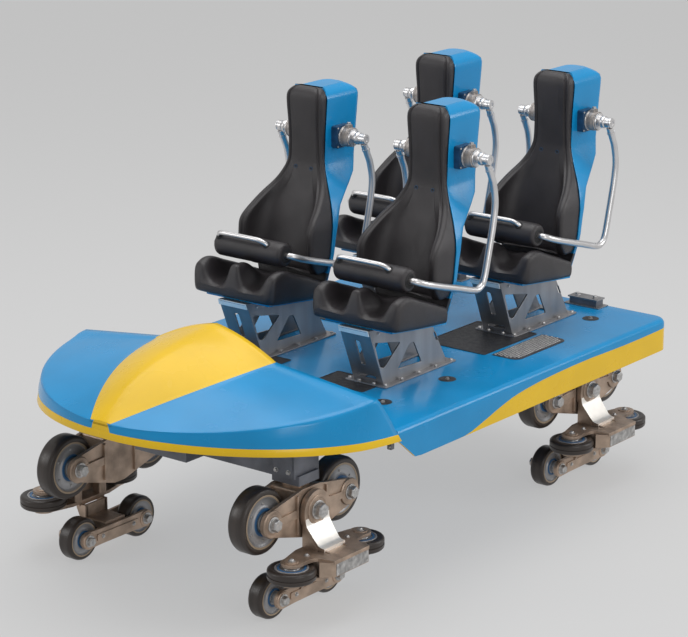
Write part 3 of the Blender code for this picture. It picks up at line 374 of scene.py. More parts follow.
def link_math(tree, kind, *values):
    """Output of a sum or other step on numbers and sockets."""
    step = tree.nodes.new("ShaderNodeMath")
    step.operation = kind
    for socket, value in zip(step.inputs, values):
        if isinstance(value, (int, float)):
            socket.default_value = value
        else:
            tree.links.new(value, socket)
    return step.outputs[0]


BRUSHED = (1.0, 1.0, 0.06)    # brushing stretches the grain along Z
STUD_PITCH = 0.021
STUD_LEVEL = 0.35
PAINT_SPECULAR = 0.26        # of the coated paints
SPECULAR = 0.5
COAT_ROUGHNESS = 0.10


def link_coordinates(tree, way):
    """Coordinates of the mottling and of the grain, which runs the way the finish does."""
    place = tree.nodes.new("ShaderNodeTexCoord").outputs["Object"]
    if way == "brushed":
        stretch = tree.nodes.new("ShaderNodeMapping")
        stretch.inputs["Scale"].default_value = BRUSHED
        tree.links.new(place, stretch.inputs["Vector"])
        return place, stretch.outputs["Vector"]
    if way == "turned":
        parts = tree.nodes.new("ShaderNodeSeparateXYZ")
        tree.links.new(place, parts.inputs["Vector"])
        across = link_math(tree, "POWER", parts.outputs["Y"], 2.0)
        up = link_math(tree, "POWER", parts.outputs["Z"], 2.0)
        radius = link_math(tree, "SQRT", link_math(tree, "ADD", across, up))
        joined = tree.nodes.new("ShaderNodeCombineXYZ")
        tree.links.new(parts.outputs["X"], joined.inputs["X"])
        tree.links.new(radius, joined.inputs["Y"])
        return place, joined.outputs["Vector"]
    return place, place


def link_height(tree, way, grain, vector, place):
    """Height of the finish's grain, from 0 to 1."""
    if way == "studs":
        parts = tree.nodes.new("ShaderNodeSeparateXYZ")
        tree.links.new(place, parts.inputs["Vector"])
        waves = [link_math(tree, "SINE", link_math(tree, "MULTIPLY", parts.outputs[axis],
                                                   math.tau / STUD_PITCH)) for axis in "XY"]
        return link_math(tree, "GREATER_THAN", link_math(tree, "MULTIPLY", *waves), STUD_LEVEL)
    if way in ("pebble", "spangle"):
        cells = tree.nodes.new("ShaderNodeTexVoronoi")
        cells.inputs["Scale"].default_value = grain
        tree.links.new(vector, cells.inputs["Vector"])
        return cells.outputs["Distance"]
    return link_noise(tree, vector, grain, 3.0, 0.25, 0.75)


def mix_finish(row, colours):
    """One procedural finish from a row of the table."""
    name, colour, light, dark, mottle, metallic, low, high, coat, grain, depth, way = row
    found = bpy.data.materials.new(name)
    found.use_nodes = True
    tree = found.node_tree
    shader = tree.nodes["Principled BSDF"]
    shader.inputs["Metallic"].default_value = metallic
    shader.inputs["Coat Weight"].default_value = coat
    shader.inputs["Coat Roughness"].default_value = COAT_ROUGHNESS
    shader.inputs["Specular IOR Level"].default_value = PAINT_SPECULAR if coat else SPECULAR
    place, vector = link_coordinates(tree, way)
    base = Vector(getattr(colours, colour))
    mix = tree.nodes.new("ShaderNodeMix")
    mix.data_type = "RGBA"
    for socket, share in ((mix.inputs[6], dark), (mix.inputs[7], light)):
        socket.default_value = (*[min(1.0, c * share) for c in base], 1.0)
    tree.links.new(link_noise(tree, vector, mottle, 5.0, 0.32, 0.68), mix.inputs[0])
    tree.links.new(mix.outputs[2], shader.inputs["Base Color"])
    gloss = tree.nodes.new("ShaderNodeMapRange")
    gloss.inputs["To Min"].default_value = low
    gloss.inputs["To Max"].default_value = high
    tree.links.new(link_noise(tree, vector, mottle * 1.7, 6.0, 0.3, 0.7),
                   gloss.inputs["Value"])
    tree.links.new(gloss.outputs["Result"], shader.inputs["Roughness"])
    relief = tree.nodes.new("ShaderNodeBump")
    relief.inputs["Distance"].default_value = depth * MILLIMETRE
    relief.inputs["Strength"].default_value = 1.0
    tree.links.new(link_height(tree, way, grain, vector, place), relief.inputs["Height"])
    tree.links.new(relief.outputs["Normal"], shader.inputs["Normal"])
    return found


def colour_setting(name, description, *default):
    """Colour setting."""
    return bpy.props.FloatVectorProperty(name=name, description=description, subtype="COLOR",
                                         default=default, min=0.0, max=1.0)


def size_setting(name, description, default, least):
    """Size setting."""
    return bpy.props.FloatProperty(name=name, description=description, default=default,
                                   min=least, unit="LENGTH")


class CoasterCarColours(bpy.types.PropertyGroup):
    """Base colours of the finishes."""
    blue: colour_setting("Blue", "Body panels and seat shells", 0.004, 0.240, 0.52)
    yellow: colour_setting("Yellow", "Stripe, trim and swoosh", 0.74, 0.47, 0.012)
    foam: colour_setting("Foam", "Skin of the seat foam", 0.0205, 0.0175, 0.0195)
    bronze: colour_setting("Bronze", "Cast parts of the wheel carriers", 0.45, 0.340, 0.262)
    # Painted highlight: the cream of the brackets' lit upper faces and of the stands' lips
    plate: colour_setting("Bright plate", "Bent brackets of the carriers", 0.97, 0.93, 0.87)
    zinc: colour_setting("Zinc", "Galvanised outer plates", 0.46, 0.45, 0.44)
    steel: colour_setting("Steel", "Seat stands and the latches' covers", 0.30, 0.295, 0.30)
    bolt: colour_setting("Bolt", "Zinc-plated bolts and screws", 0.52, 0.51, 0.50)
    chrome: colour_setting("Chrome", "Lap bars", 0.66, 0.65, 0.65)
    tyre: colour_setting("Tyre", "Wheel treads", 0.030, 0.022, 0.018)
    lip: colour_setting("Tyre lip", "Ring where the tread meets the hub", 0.33, 0.25, 0.17)
    hub: colour_setting("Hub", "Wheel hubs", 0.40, 0.40, 0.41)
    seal: colour_setting("Seal", "Bearing seals", 0.045, 0.13, 0.27)
    housing: colour_setting("Housing", "Lap bar pivots", 0.34, 0.31, 0.29)
    # Painted shade: the body blue darkened, for the pivot blocks and the pad's screws
    painted_shade_blue: colour_setting("Navy", "Pivot blocks beside the head rests", 0.016, 0.060, 0.130)
    # The near-black of holes and sockets is this black, darkened as painted shade
    rubber: colour_setting("Rubber", "Mats, caps, step plates and holes", 0.022, 0.022, 0.024)
    frame: colour_setting("Frame", "Chassis frame", 0.13, 0.135, 0.155)
    floor: colour_setting("Floor", "Studio floor", 0.20, 0.20, 0.20)


class CoasterCarSizes(bpy.types.PropertyGroup):
    """Sizes that a user would change."""
    wheel_sides: bpy.props.IntProperty(
        name="Wheel sides", description="Faces round each wheel", default=72, min=24)
    bolt_size: size_setting(
        "Bolt", "Half the width of a carrier bolt across its flats", 0.0135, 0.004)
    trim_height: size_setting("Trim", "Height of the nose's yellow trim", 0.036, 0.01)
    deck_round: size_setting("Deck round", "Radius of the deck's top edge", 0.030, 0.005)
    mat_height: size_setting("Mat", "Height of the floor mats", 0.005, 0.001)
    foam_bead: size_setting(
        "Foam bead", "Depth of the groove inside the seat back's edge", 0.004, 0.0)


# Studio

CAMERA_PLACE = (7.855, -9.927, 4.719)
CAMERA_AXES = ((0.7868, 0.6172, 0.0), (-0.1722, 0.2195, 0.9603), (0.5927, -0.7556, 0.2790))
CAMERA_LENS, CAMERA_SENSOR = 138.06, 36.0    # millimetres
CAMERA_REACH = 200.0
# Soft lights: name, place, what it looks at, size, power
LIGHTS = (
    ("overhead", (-0.6, 0.5, 8.0), (0.0, 0.0, 0.0), 8.0, 460.0),
    ("left_front", (-7.0, -8.0, 5.0), (0.0, 0.0, 0.8), 4.0, 190.0),
    ("right_front", (8.0, -3.0, 3.5), (0.0, 0.0, 0.6), 3.0, 120.0),
    ("right_rear", (7.0, 6.5, 4.5), (0.3, 0.0, 0.9), 4.0, 240.0),
)
WHITE = (1.0, 1.0, 1.0, 1.0)
WORLD_LIGHT = 0.50
FLOOR_HALF = 60.0
FLOOR_GLOW = 0.42            # evens out the floor's tone
FLOOR_ROUGHNESS = 0.9
FLOOR_SPECULAR = 0.1


def floor_finish(colour):
    """Matt finish that glows a little."""
    finish = bpy.data.materials.new("floor_finish")
    finish.use_nodes = True
    shader = finish.node_tree.nodes["Principled BSDF"]
    shader.inputs["Base Color"].default_value = (*colour, 1.0)
    shader.inputs["Emission Color"].default_value = WHITE
    shader.inputs["Emission Strength"].default_value = FLOOR_GLOW
    shader.inputs["Roughness"].default_value = FLOOR_ROUGHNESS
    shader.inputs["Specular IOR Level"].default_value = FLOOR_SPECULAR
    return finish


class COASTER_OT_stage(bpy.types.Operator):
    """Floor, soft lights and the camera"""
    bl_idname = "coaster.stage"
    bl_label = "Stage"

    def execute(self, context):
        scene = context.scene
        scene.view_settings.view_transform = "Standard"
        scene.view_settings.look = "None"
        world = bpy.data.worlds.new("Studio")
        world.use_nodes = True
        background = world.node_tree.nodes["Background"]
        background.inputs["Color"].default_value = WHITE
        background.inputs["Strength"].default_value = WORLD_LIGHT
        scene.world = world
        work = bmesh.new()
        bmesh.ops.create_grid(work, x_segments=8, y_segments=8, size=FLOOR_HALF)
        mesh = bpy.data.meshes.new("studio_floor")
        work.to_mesh(mesh)
        work.free()
        mesh.materials.append(floor_finish(scene.coaster_colours.floor))
        floor = bpy.data.objects.new("studio_floor", mesh)
        scene.collection.objects.link(floor)
        for name, place, target, size, power in LIGHTS:
            lamp = bpy.data.lights.new(name, "AREA")
            lamp.shape = "SQUARE"
            lamp.size = size
            lamp.energy = power
            item = bpy.data.objects.new(name, lamp)
            item.location = place
            aim = Vector(target) - Vector(place)
            item.rotation_euler = aim.to_track_quat("-Z", "Y").to_euler()
            scene.collection.objects.link(item)
        lens = bpy.data.cameras.new("photo_camera")
        lens.sensor_fit = "HORIZONTAL"
        lens.sensor_width = CAMERA_SENSOR
        lens.lens = CAMERA_LENS
        lens.clip_end = CAMERA_REACH
        camera = bpy.data.objects.new("photo_camera", lens)
        turn = Matrix(CAMERA_AXES).transposed().to_4x4()
        camera.matrix_world = Matrix.Translation(CAMERA_PLACE) @ turn
        scene.collection.objects.link(camera)
        scene.camera = camera
        return {"FINISHED"}


class COASTER_OT_finishes(bpy.types.Operator):
    """Procedural finishes of every piece"""
    bl_idname = "coaster.finishes"
    bl_label = "Finishes"

    def execute(self, context):
        for row in FINISHES:
            mix_finish(row, context.scene.coaster_colours)
        return {"FINISHED"}


# Wheels

# Radius, half width and how far the tyre's edge steps in from each face
ROAD_WHEEL = (0.158, 0.048, 0.020)
SIDE_WHEEL = (0.1145, 0.030, 0.014)
UPSTOP_WHEEL = (0.1064, 0.040, 0.020)
BORE = 0.0188
TREAD_REACH = 0.996          # share of the radius that the tread takes
FLAT_REACH = math.cos(math.pi / 20)    # the up-stop wheels keep inside the solid's flats
WHEEL_FINISHES = ("tyre_rubber", "tyre_lip", "hub_cast", "blue_seal", "zinc_bolt")
TYRE, LIP, HUB, SEAL, METAL = range(5)
# Wheel faces from the bore outwards: share of the radius, depth under the face in
# millimetres, finish
ROAD_FACE = (
    (0, 0.5, HUB), (0.25, 0.5, HUB), (0.262, 4, HUB), (0.325, 4.5, SEAL), (0.33, 1.2, SEAL),
    (0.415, 1.2, SEAL), (0.422, 4.5, HUB), (0.45, 9.5, HUB), (0.5, 12.5, HUB),
    (0.64, 12.5, HUB), (0.7, 9.5, HUB), (0.745, 3, LIP), (0.752, 1.8, LIP),
    (0.806, 1.8, TYRE), (0.815, 3, TYRE), (0.87, 1.6, TYRE), (0.93, 3.6, TYRE),
    (0.965, 8.5, TYRE), (0.988, 16, TYRE),
)
SIDE_FACE = (
    (0, 0.5, HUB), (0.33, 0.5, HUB), (0.345, 4, HUB), (0.49, 4.5, SEAL), (0.5, 1, SEAL),
    (0.58, 1, SEAL), (0.59, 4, HUB), (0.615, 4, HUB), (0.622, 0.8, HUB), (0.685, 0.8, HUB),
    (0.692, 3, TYRE), (0.72, 1.2, TYRE), (0.88, 1.2, TYRE), (0.94, 3.4, TYRE),
    (0.985, 9, TYRE),
)
# Groove round the side wheels' tread: depth, and half width at its foot and its top
GROOVE_DEPTH, GROOVE_FOOT, GROOVE_TOP = 0.0035, 0.003, 0.0045
HUB_SCREW = mm((0, 0), (6.2, 0), (6.2, 3.5), (5, 5), (2.8, 5), (2.4, 3), (0, 3))
HUB_SCREWS = 6
SCREW_CIRCLE = 0.57          # share of the radius
SCREW_DEPTH = 0.0125


def wheel_mesh(name, size, face, sides, reach=TREAD_REACH, groove=False, screws=False):
    """Wheel turned about X: dished hub, bearing seals, lip and tread."""
    radius, half, step = size
    tread = radius * reach
    profile = [(max(BORE, share * radius), half - depth * MILLIMETRE, finish)
               for share, depth, finish in face]
    finishes = [finish for *_, finish in reversed(profile)] + [HUB]
    profile.append((tread, half - step, TYRE))
    back = [(r, -h) for r, h, _ in reversed(profile)]
    if groove:
        foot = tread - GROOVE_DEPTH
        profile += [(tread, GROOVE_TOP, TYRE), (foot, GROOVE_FOOT, TYRE),
                    (foot, -GROOVE_FOOT, TYRE), (tread, -GROOVE_TOP, TYRE)]
    profile += [(*point, finish) for point, finish in zip(back, finishes)]
    work = bmesh.new()
    add_lathe(work, profile, (0, 0, 0), LEFTWARD, sides)
    if screws:
        for k in range(HUB_SCREWS):
            angle = math.tau * (k + 0.5) / HUB_SCREWS
            for sign in (-1, 1):
                place = (sign * (half - SCREW_DEPTH), SCREW_CIRCLE * radius * math.cos(angle),
                         SCREW_CIRCLE * radius * math.sin(angle))
                add_lathe(work, HUB_SCREW, place, (sign, 0, 0), 12, METAL)
    return to_mesh(work, name, WHEEL_FINISHES, 30)


class COASTER_OT_wheels(bpy.types.Operator):
    """Road, side and up-stop wheels"""
    bl_idname = "coaster.wheels"
    bl_label = "Wheels"

    def execute(self, context):
        sides = context.scene.coaster_sizes.wheel_sides
        road = wheel_mesh("road_wheel", ROAD_WHEEL, ROAD_FACE, sides, screws=True)
        side = wheel_mesh("side_wheel", SIDE_WHEEL, SIDE_FACE, sides, groove=True)
        upstop = wheel_mesh("upstop_wheel", UPSTOP_WHEEL, ROAD_FACE, sides, FLAT_REACH)
        flat = (0, -math.pi / 2, 0)
        for label, _ in LABELS:
            for end in ROWS:
                for kind, mesh, turn in (("road", road, None), ("side", side, flat),
                                         ("upstop", upstop, None)):
                    node = f"{kind}_wheel_{label}_{end}"
                    put(f"look_{node}", mesh, node, [node], JOINTS[node], turn=turn)
        return {"FINISHED"}


# Wheel carriers, X from the rail's centre, Y from the king pin, for the left side

RAIL_X = 0.6
CARRIER_FINISHES = ("bronze_cast", "painted_highlight_plate", "galvanised_plate", "zinc_bolt")
BRONZE, PAINTED_HIGHLIGHT, ZINC, BOLT = range(4)
CARRIER_BEVEL = 0.0018
ROAD_Z = JOINTS["road_wheel_front_left_front"].z
UPSTOP_Z = JOINTS["upstop_wheel_front_left_front"].z
RAIL_Z = JOINTS["side_wheel_front_left_front"].z
SIDE_X = JOINTS["side_wheel_front_left_front"].x - RAIL_X
ROAD_Y, SIDE_Y, UPSTOP_Y = 0.282, 0.2535, 0.205
AXLE, AXLE_EDGE = 0.018, 0.002
# Spacers on the axles: radius, share of it at the wheel, where along it the step lies
SPACER, SPACER_NECK, SPACER_STEP = 0.034, 0.80, 0.55


def add_axle(work, y, z, low, high, wheel):
    """Axle with stepped spacers against both faces of its wheel."""
    add_lathe(work, [(0, low), (AXLE - AXLE_EDGE, low), (AXLE, low + AXLE_EDGE),
                     (AXLE, high - AXLE_EDGE), (AXLE - AXLE_EDGE, high), (0, high)],
              (0, y, z), LEFTWARD, 24, BOLT)
    for start, stop in ((low, -wheel), (high, wheel)):
        step = start + (stop - start) * SPACER_STEP
        neck = SPACER * SPACER_NECK
        add_lathe(work, [(AXLE, start), (SPACER, start), (SPACER, step), (neck, step),
                         (neck, stop), (AXLE, stop)], (0, y, z), LEFTWARD, 28, BOLT)


def raised(outline, height, side=1):
    """Outline in Y and Z moved up, and turned to the side that the sign gives."""
    return [(side * y, height + z) for y, z in outline]


def side_of(point, side):
    """Point in X and Y on the rear or front side, by the sign."""
    return point[0], side * point[1]


def doubled(half):
    """Closed outline in X and Y from its rear half."""
    return half + [(x, -y) for x, y in reversed(half)]


# Bolts, half their width across flats
ROAD_BOLT, PIVOT_BOLT, UPSTOP_BOLT, SIDE_BOLT = 0.0265, 0.0325, 0.0195, 0.0115
PLATE_BOLT_SHARE, ARM_BOLT_SHARE = 0.7, 0.6    # of the size that a user sets
# Rockers, Y and Z from the middle between the road wheels' axles
ROCKER_END = 0.063
ROCKER_FACES = (0.0725, 0.0920)
ROCKER_FRONT = 0.0915
ROCKER_HUB, ROCKER_HUB_HALF = ((-0.085, -0.070), (0.085, 0.100)), 0.0735
ROAD_GAP_HALF = 0.0485       # half of the gap that a road wheel leaves
ROCKER_FOOT, ROCKER_CREST = (0.045, -0.135), (0.075, 0.105)    # their half lengths, heights
BAR = mm((236, -15), (236, 15), (100, 22), (100, -22))
BAR_HEIGHT = 0.0095
RIB = mm((101, -104), (112, -98), (112, 82), (101, 87))
RIB_HEIGHT = 0.012
# Turned profiles: radius and height, in millimetres
ROCKER_BOSS = mm((20, 0), (66, 0), (66, 4.5), (62, 8.5), (46, 8.5), (44, 10), (20, 10))
PIN_COLLAR = mm((30.6, 85), (62, 85), (64, 100), (64, 112), (57, 120), (55, 140), (55, 149),
                (53, 151.5), (30.6, 151.5))


def cut_corners(start, stop, height):
    """Two corners of the rocker, each as two points close together."""
    way, drop = math.copysign(0.012, stop - start), math.copysign(0.006, height)
    return raised([(start - way, height - drop), (start + way, height), (stop - way, height),
                   (stop + way, height - drop)], ROAD_Z)


def rocker_mesh(mirror):
    """Two ribbed plates, the hub between them, and the road wheels' axles."""
    work = bmesh.new()
    foot, crest = ROCKER_FOOT, ROCKER_CREST
    outline = arc((-ROAD_Y, ROAD_Z), ROCKER_END, 110, 250, 14)
    outline += cut_corners(-foot[0], *foot)
    outline += arc((ROAD_Y, ROAD_Z), ROCKER_END, -70, 70, 14)
    outline += cut_corners(crest[0], -crest[0], crest[1])
    for face in (1, -1):
        add_prism(work, outline, "X", *(face * x for x in ROCKER_FACES), BRONZE)
        front, out = ROCKER_FRONT * face, (face, 0, 0)
        for side in (-1, 1):
            y = side * ROAD_Y
            add_lathe(work, ROCKER_BOSS, (front, y, ROAD_Z), out, 40, BRONZE)
            add_bolt(work, (front + BAR_HEIGHT * face, y, ROAD_Z), out, ROAD_BOLT, BOLT, 1.45)
            bar = rounded(raised(BAR, ROAD_Z, side), 0.006)
            add_prism(work, bar, "X", front, front + BAR_HEIGHT * face, BRONZE)
            rib = raised(RIB, ROAD_Z, side)
            add_prism(work, rib, "X", front, front + RIB_HEIGHT * face, BRONZE)
    hub = raised(oblong(*ROCKER_HUB, 0.012), ROAD_Z)
    add_prism(work, hub, "X", -ROCKER_HUB_HALF, ROCKER_HUB_HALF, BRONZE)
    add_lathe(work, PIN_COLLAR, (0, 0, ROAD_Z), UP, 40, BRONZE)
    for y in (-ROAD_Y, ROAD_Y):
        add_axle(work, y, ROAD_Z, -ROCKER_HUB_HALF, ROCKER_HUB_HALF, ROAD_GAP_HALF)
    return to_mesh(work, "rocker", CARRIER_FINISHES, 38, mirror)


# Hangers
HEAD_RADIUS = 0.094
HEAD_FOOT = mm((-94, 480), (-86, 446), (86, 446), (94, 480))
HEAD_COVER = mm((0, 128), (70, 128), (70, 131.5), (67, 133.5), (58, 133.5), (56, 132),
                (0, 132))
# Bent bracket's middle line from the head over the knee to its foot: X, Z, half width
BRACKET = mm((120, 470, 86), (120, 462, 86), (120.6, 451, 85.5), (122.6, 440, 85),
             (127, 429, 84.5), (135, 416.5, 83.5), (150, 397, 82), (170, 371.5, 80),
             (190, 349, 78), (204, 341, 77), (216, 338.5, 77), (230, 337.5, 76.5))
BRACKET_HALF = 0.0095
GUSSET = mm((104, 455), (116, 440), (188, 346), (192, 330), (104, 330))
GUSSET_Y = (0.0700, 0.0812)
FOOT_RIB = mm((196, 344), (262, 330), (200, 330))
FOOT_RIB_Y = (0.061, 0.071)
# Side wheels' plate from above: two lobes and the foot between them
LOBE = 0.051
SIDE_PLATE = doubled([(0.101, 0.129), (SIDE_X - LOBE, SIDE_Y - 0.012)]
                     + arc((SIDE_X, SIDE_Y), LOBE, 180, -10, 16)
                     + [(SIDE_X + 0.047, SIDE_Y - 0.035)]
                     + mm((232, 178), (237.5, 160), (252, 146), (290, 134.5), (331.5, 128.5)))
TOP_PLATE_Z, LOW_PLATE_Z = (0.3138, 0.3302), (0.2208, 0.2372)
LOW_PLATE_END = 0.262
PLATE_BOLT = (0.185, 0.150)
WALL, WALL_Z = ((0.101, 0.060), (0.156, 0.112)), (0.2365, 0.3145)
# Outer block from above, hollowed round the side wheels, and the blank plate on it
BUMPER = mm((332.5, 118), (329.5, 126)) + arc((SIDE_X, SIDE_Y), 0.1255, -40, -90, 14)
BUMPER = doubled(BUMPER + [(0.160, BUMPER[-1][1])])
BUMPER_Z = (0.252, 0.321)
BLANK = oblong((-0.118, 0.256), (0.118, 0.313), 0.006)
RIVET = mm((0, 0), (5.5, 0), (5.5, 0.6), (3.5, 1.2), (0, 1.2))
LOBE_COVER = mm((0, 0), (34, 0), (34, 2), (32, 3.5), (0, 3.5))
COVER_HEIGHT = 0.0035
SIDE_SPACER = mm((0, 237), (34, 237), (34, 240.5), (28, 241))
SIDE_SPACER_END = 0.0305
SIDE_AXLE_HALF = 0.045
# Up-stop arms: where their outer and inner faces lie, and the way the outer one looks
ARMS = ((0.0878, 0.0712, 1), (-0.0718, -0.0552, -1))
ARM_END, ARM_HALF, ARM_TURN_Y = 0.0435, 0.040, 0.120
ARM_BOSS = mm((18, 0), (42, 0), (42, 3), (39, 5.5), (18, 5.5))
ARM_BAR, ARM_BAR_BOLT_Y = (0.150, 0.017), 0.110    # half length and half height, bolts
ARM_BAR_HEIGHT = 0.005
UPSTOP_AXLE = (-0.0525, 0.0695)
UPSTOP_HALF = 0.0405         # half of the gap that the wheel leaves
BRIDGE, BRIDGE_X = ((-0.0715, -0.0295), (0.0715, 0.0545)), (-0.053, 0.070)
WEB_Y = (0.0625, 0.0795)
BLANK_X = (0.330, 0.335)
RIVET_X, RIVET_Y, RIVET_Z = 0.3346, 0.108, (0.264, 0.305)
HEAD_X = (0.1006, 0.1290)
PIVOT_BOLT_X = 0.1318


def bracket_rings():
    """Sections of the bent bracket."""
    rings = []
    for i, (x, z, half) in enumerate(BRACKET):
        ahead, back = BRACKET[min(i + 1, len(BRACKET) - 1)], BRACKET[max(i - 1, 0)]
        way = Vector((ahead[0] - back[0], ahead[1] - back[1])).normalized()
        out = Vector((-way.y, way.x)) * BRACKET_HALF
        rings.append([(x + k * out.x, y, z + k * out.y)
                      for k, y in ((1, -half), (1, half), (-1, half), (-1, -half))])
    return rings


def add_side_wheel_seat(work, side, size):
    """Covers, bolts, spacers and axle of one side wheel, and the wall beside it."""
    y = side * SIDE_Y
    centre = (SIDE_X, y, RAIL_Z)
    for z, way in ((TOP_PLATE_Z[1], 1), (LOW_PLATE_Z[0], -1)):
        out = (0, 0, way)
        add_lathe(work, LOBE_COVER, (SIDE_X, y, z), out, 32, BRONZE)
        add_bolt(work, (SIDE_X, y, z + COVER_HEIGHT * way), out, SIDE_BOLT, BOLT, 1.6, True)
        add_bolt(work, (*side_of(PLATE_BOLT, side), z), out, size * PLATE_BOLT_SHARE, BOLT,
                 dome=way > 0)
        spacer = [(max(AXLE, r), way * (z - RAIL_Z)) for r, z in SIDE_SPACER]
        spacer += [(radius, -way * SIDE_SPACER_END) for radius in (SIDE_SPACER[-1][0], AXLE)]
        add_lathe(work, spacer, centre, UP, 28, BOLT)
    add_lathe(work, [(0, -SIDE_AXLE_HALF), (AXLE, -SIDE_AXLE_HALF), (AXLE, SIDE_AXLE_HALF),
                     (0, SIDE_AXLE_HALF)], centre, UP, 24, BOLT)
    wall = oblong(*(side_of(corner, side) for corner in WALL), 0.012)
    add_prism(work, wall, "Z", *WALL_Z, BRONZE)


def add_upstop_arms(work, size):
    """Two arms with bosses and bolts, the bridge between them, and the webs above."""
    arm = arc((-UPSTOP_Y, UPSTOP_Z), ARM_END, 90, 270, 14)
    arm += raised([(-ARM_TURN_Y, -ARM_HALF), (ARM_TURN_Y, -ARM_HALF)], UPSTOP_Z)
    arm += arc((UPSTOP_Y, UPSTOP_Z), ARM_END, -90, 90, 14)
    arm += raised([(ARM_TURN_Y, ARM_HALF), (-ARM_TURN_Y, ARM_HALF)], UPSTOP_Z)
    length, height = ARM_BAR
    bar = raised(oblong((-length, -height), (length, height), 0.008), UPSTOP_Z)
    for face, back, way in ARMS:
        out = (way, 0, 0)
        add_prism(work, arm, "X", back, face, BRONZE)
        for y in (-UPSTOP_Y, UPSTOP_Y):
            add_lathe(work, ARM_BOSS, (face, y, UPSTOP_Z), out, 32, BRONZE)
            add_bolt(work, (face + ARM_BAR_HEIGHT * way, y, UPSTOP_Z), out, UPSTOP_BOLT, BOLT,
                     1.55)
        add_prism(work, bar, "X", face - 0.001 * way, face + ARM_BAR_HEIGHT * way, BRONZE)
        for y in (-ARM_BAR_BOLT_Y, ARM_BAR_BOLT_Y):
            add_bolt(work, (face + 0.0048 * way, y, UPSTOP_Z), out, size * ARM_BOLT_SHARE,
                     BOLT, 1.4, True)
    for y in (-UPSTOP_Y, UPSTOP_Y):
        add_axle(work, y, UPSTOP_Z, *UPSTOP_AXLE, UPSTOP_HALF)
    add_prism(work, raised(oblong(*BRIDGE, 0.010), UPSTOP_Z), "X", *BRIDGE_X, BRONZE)
    low = UPSTOP_Z + 0.001
    web = [(0.070, low), (0.086, low)] + mm((129, 200), (129, 219), (70, 219))
    for side in (-1, 1):
        add_prism(work, web, "Y", *(side * y for y in WEB_Y), BRONZE)
    add_box(work, (0.070, -0.070, low), (0.082, 0.070, 0.220), BRONZE)
    add_box(work, (0.100, -0.090, 0.213), (0.129, 0.090, 0.2215), BRONZE)


def hanger_mesh(size, mirror):
    """Bent bracket with the side wheels' plates, outer block and up-stop arms."""
    work = bmesh.new()
    head = arc((0, ROAD_Z), HEAD_RADIUS, 0, 180, 32) + HEAD_FOOT
    add_prism(work, head, "X", *HEAD_X, BRONZE)
    # Only the bracket's upper face takes the cream painted highlight; its sides and underside
    # stay bronze
    skin_rings(work, bracket_rings(), slot=[PAINTED_HIGHLIGHT, BRONZE, BRONZE, BRONZE])
    add_lathe(work, HEAD_COVER, (0, 0, ROAD_Z), LEFTWARD, 40, BRONZE)
    add_bolt(work, (PIVOT_BOLT_X, 0, ROAD_Z), LEFTWARD, PIVOT_BOLT, BOLT, 1.4)
    for side in (-1, 1):
        add_prism(work, GUSSET, "Y", *(side * y for y in GUSSET_Y), BRONZE)
        add_prism(work, FOOT_RIB, "Y", *(side * y for y in FOOT_RIB_Y), BRONZE)
    add_prism(work, SIDE_PLATE, "Z", *TOP_PLATE_Z, BRONZE)
    low_plate = [(min(x, LOW_PLATE_END), y) for x, y in SIDE_PLATE]
    add_prism(work, low_plate, "Z", *LOW_PLATE_Z, BRONZE)
    add_prism(work, BUMPER, "Z", *BUMPER_Z, BRONZE)
    add_prism(work, BLANK, "X", *BLANK_X, ZINC)
    for y in (-RIVET_Y, RIVET_Y):
        for z in RIVET_Z:
            add_lathe(work, RIVET, (RIVET_X, y, z), LEFTWARD, 12, BOLT)
    for side in (-1, 1):
        add_side_wheel_seat(work, side, size)
    add_upstop_arms(work, size)
    return to_mesh(work, "hanger", CARRIER_FINISHES, 38, mirror)


class COASTER_OT_carriers(bpy.types.Operator):
    """Rockers and hangers of the four wheel carriers"""
    bl_idname = "coaster.carriers"
    bl_label = "Wheel carriers"

    def execute(self, context):
        size = context.scene.coaster_sizes.bolt_size
        meshes = {}
        for _, sign in SIDES:
            meshes["rocker", sign] = rocker_mesh(sign < 0)
            meshes["hanger", sign] = hanger_mesh(size, sign < 0)
        for label, sign in LABELS:
            body = f"carrier_{label}"
            for kind in ("rocker", "hanger"):
                put(f"look_{kind}_{label}", meshes[kind, sign], body,
                    [f"{kind}_{label}"], (sign * RAIL_X, JOINTS[body].y, 0), CARRIER_BEVEL)
        return {"FINISHED"}


# Seats, X from the seat's middle, Y from the lap bar's pivot

PIVOT_Z = JOINTS["lap_bar_front_left"].z
SEAT_FINISHES = ("blue_paint", "foam_skin", "zinc_bolt", "blue_in_painted_shade", "housing_cast",
                 "chrome_tube", "black_in_painted_shade", "brushed_steel", "painted_highlight_plate")
BLUE, FOAM, SCREW, PAINTED_SHADE_BLUE, CAST, CHROME, SHADED_BLACK, STEEL, CREAM_HIGHLIGHT = range(9)
# Seat back levels: height, half width, front at the middle, wing's leading edge,
# wing's rear edge, rear at the middle, rear face of the shell
BACK_LEVELS = mm(
    (1218, 225, -274, -325, -244, -234, -214), (1320, 244, -249, -394, -232, -219, -199),
    (1450, 243, -219, -389, -214, -184, -165), (1550, 218, -194, -294, -194, -139, -98),
    (1600, 192, -180, -238, -174, -129, -25), (1640, 165, -169, -194, -154, -119, 45),
    (1685, 140, -157, -166, -137, -107, 108), (1760, 112, -144, -143, -116, -89, 147),
    (1900, 108, -147, -145, -104, -82, 168), (2080, 115, -157, -154, -98, -80, 178),
    (2130, 96, -143, -136, -96, -80, 152))
SHELL_LEVELS = mm((1085, 185, -262, -325, -262, -258, -200)) + BACK_LEVELS
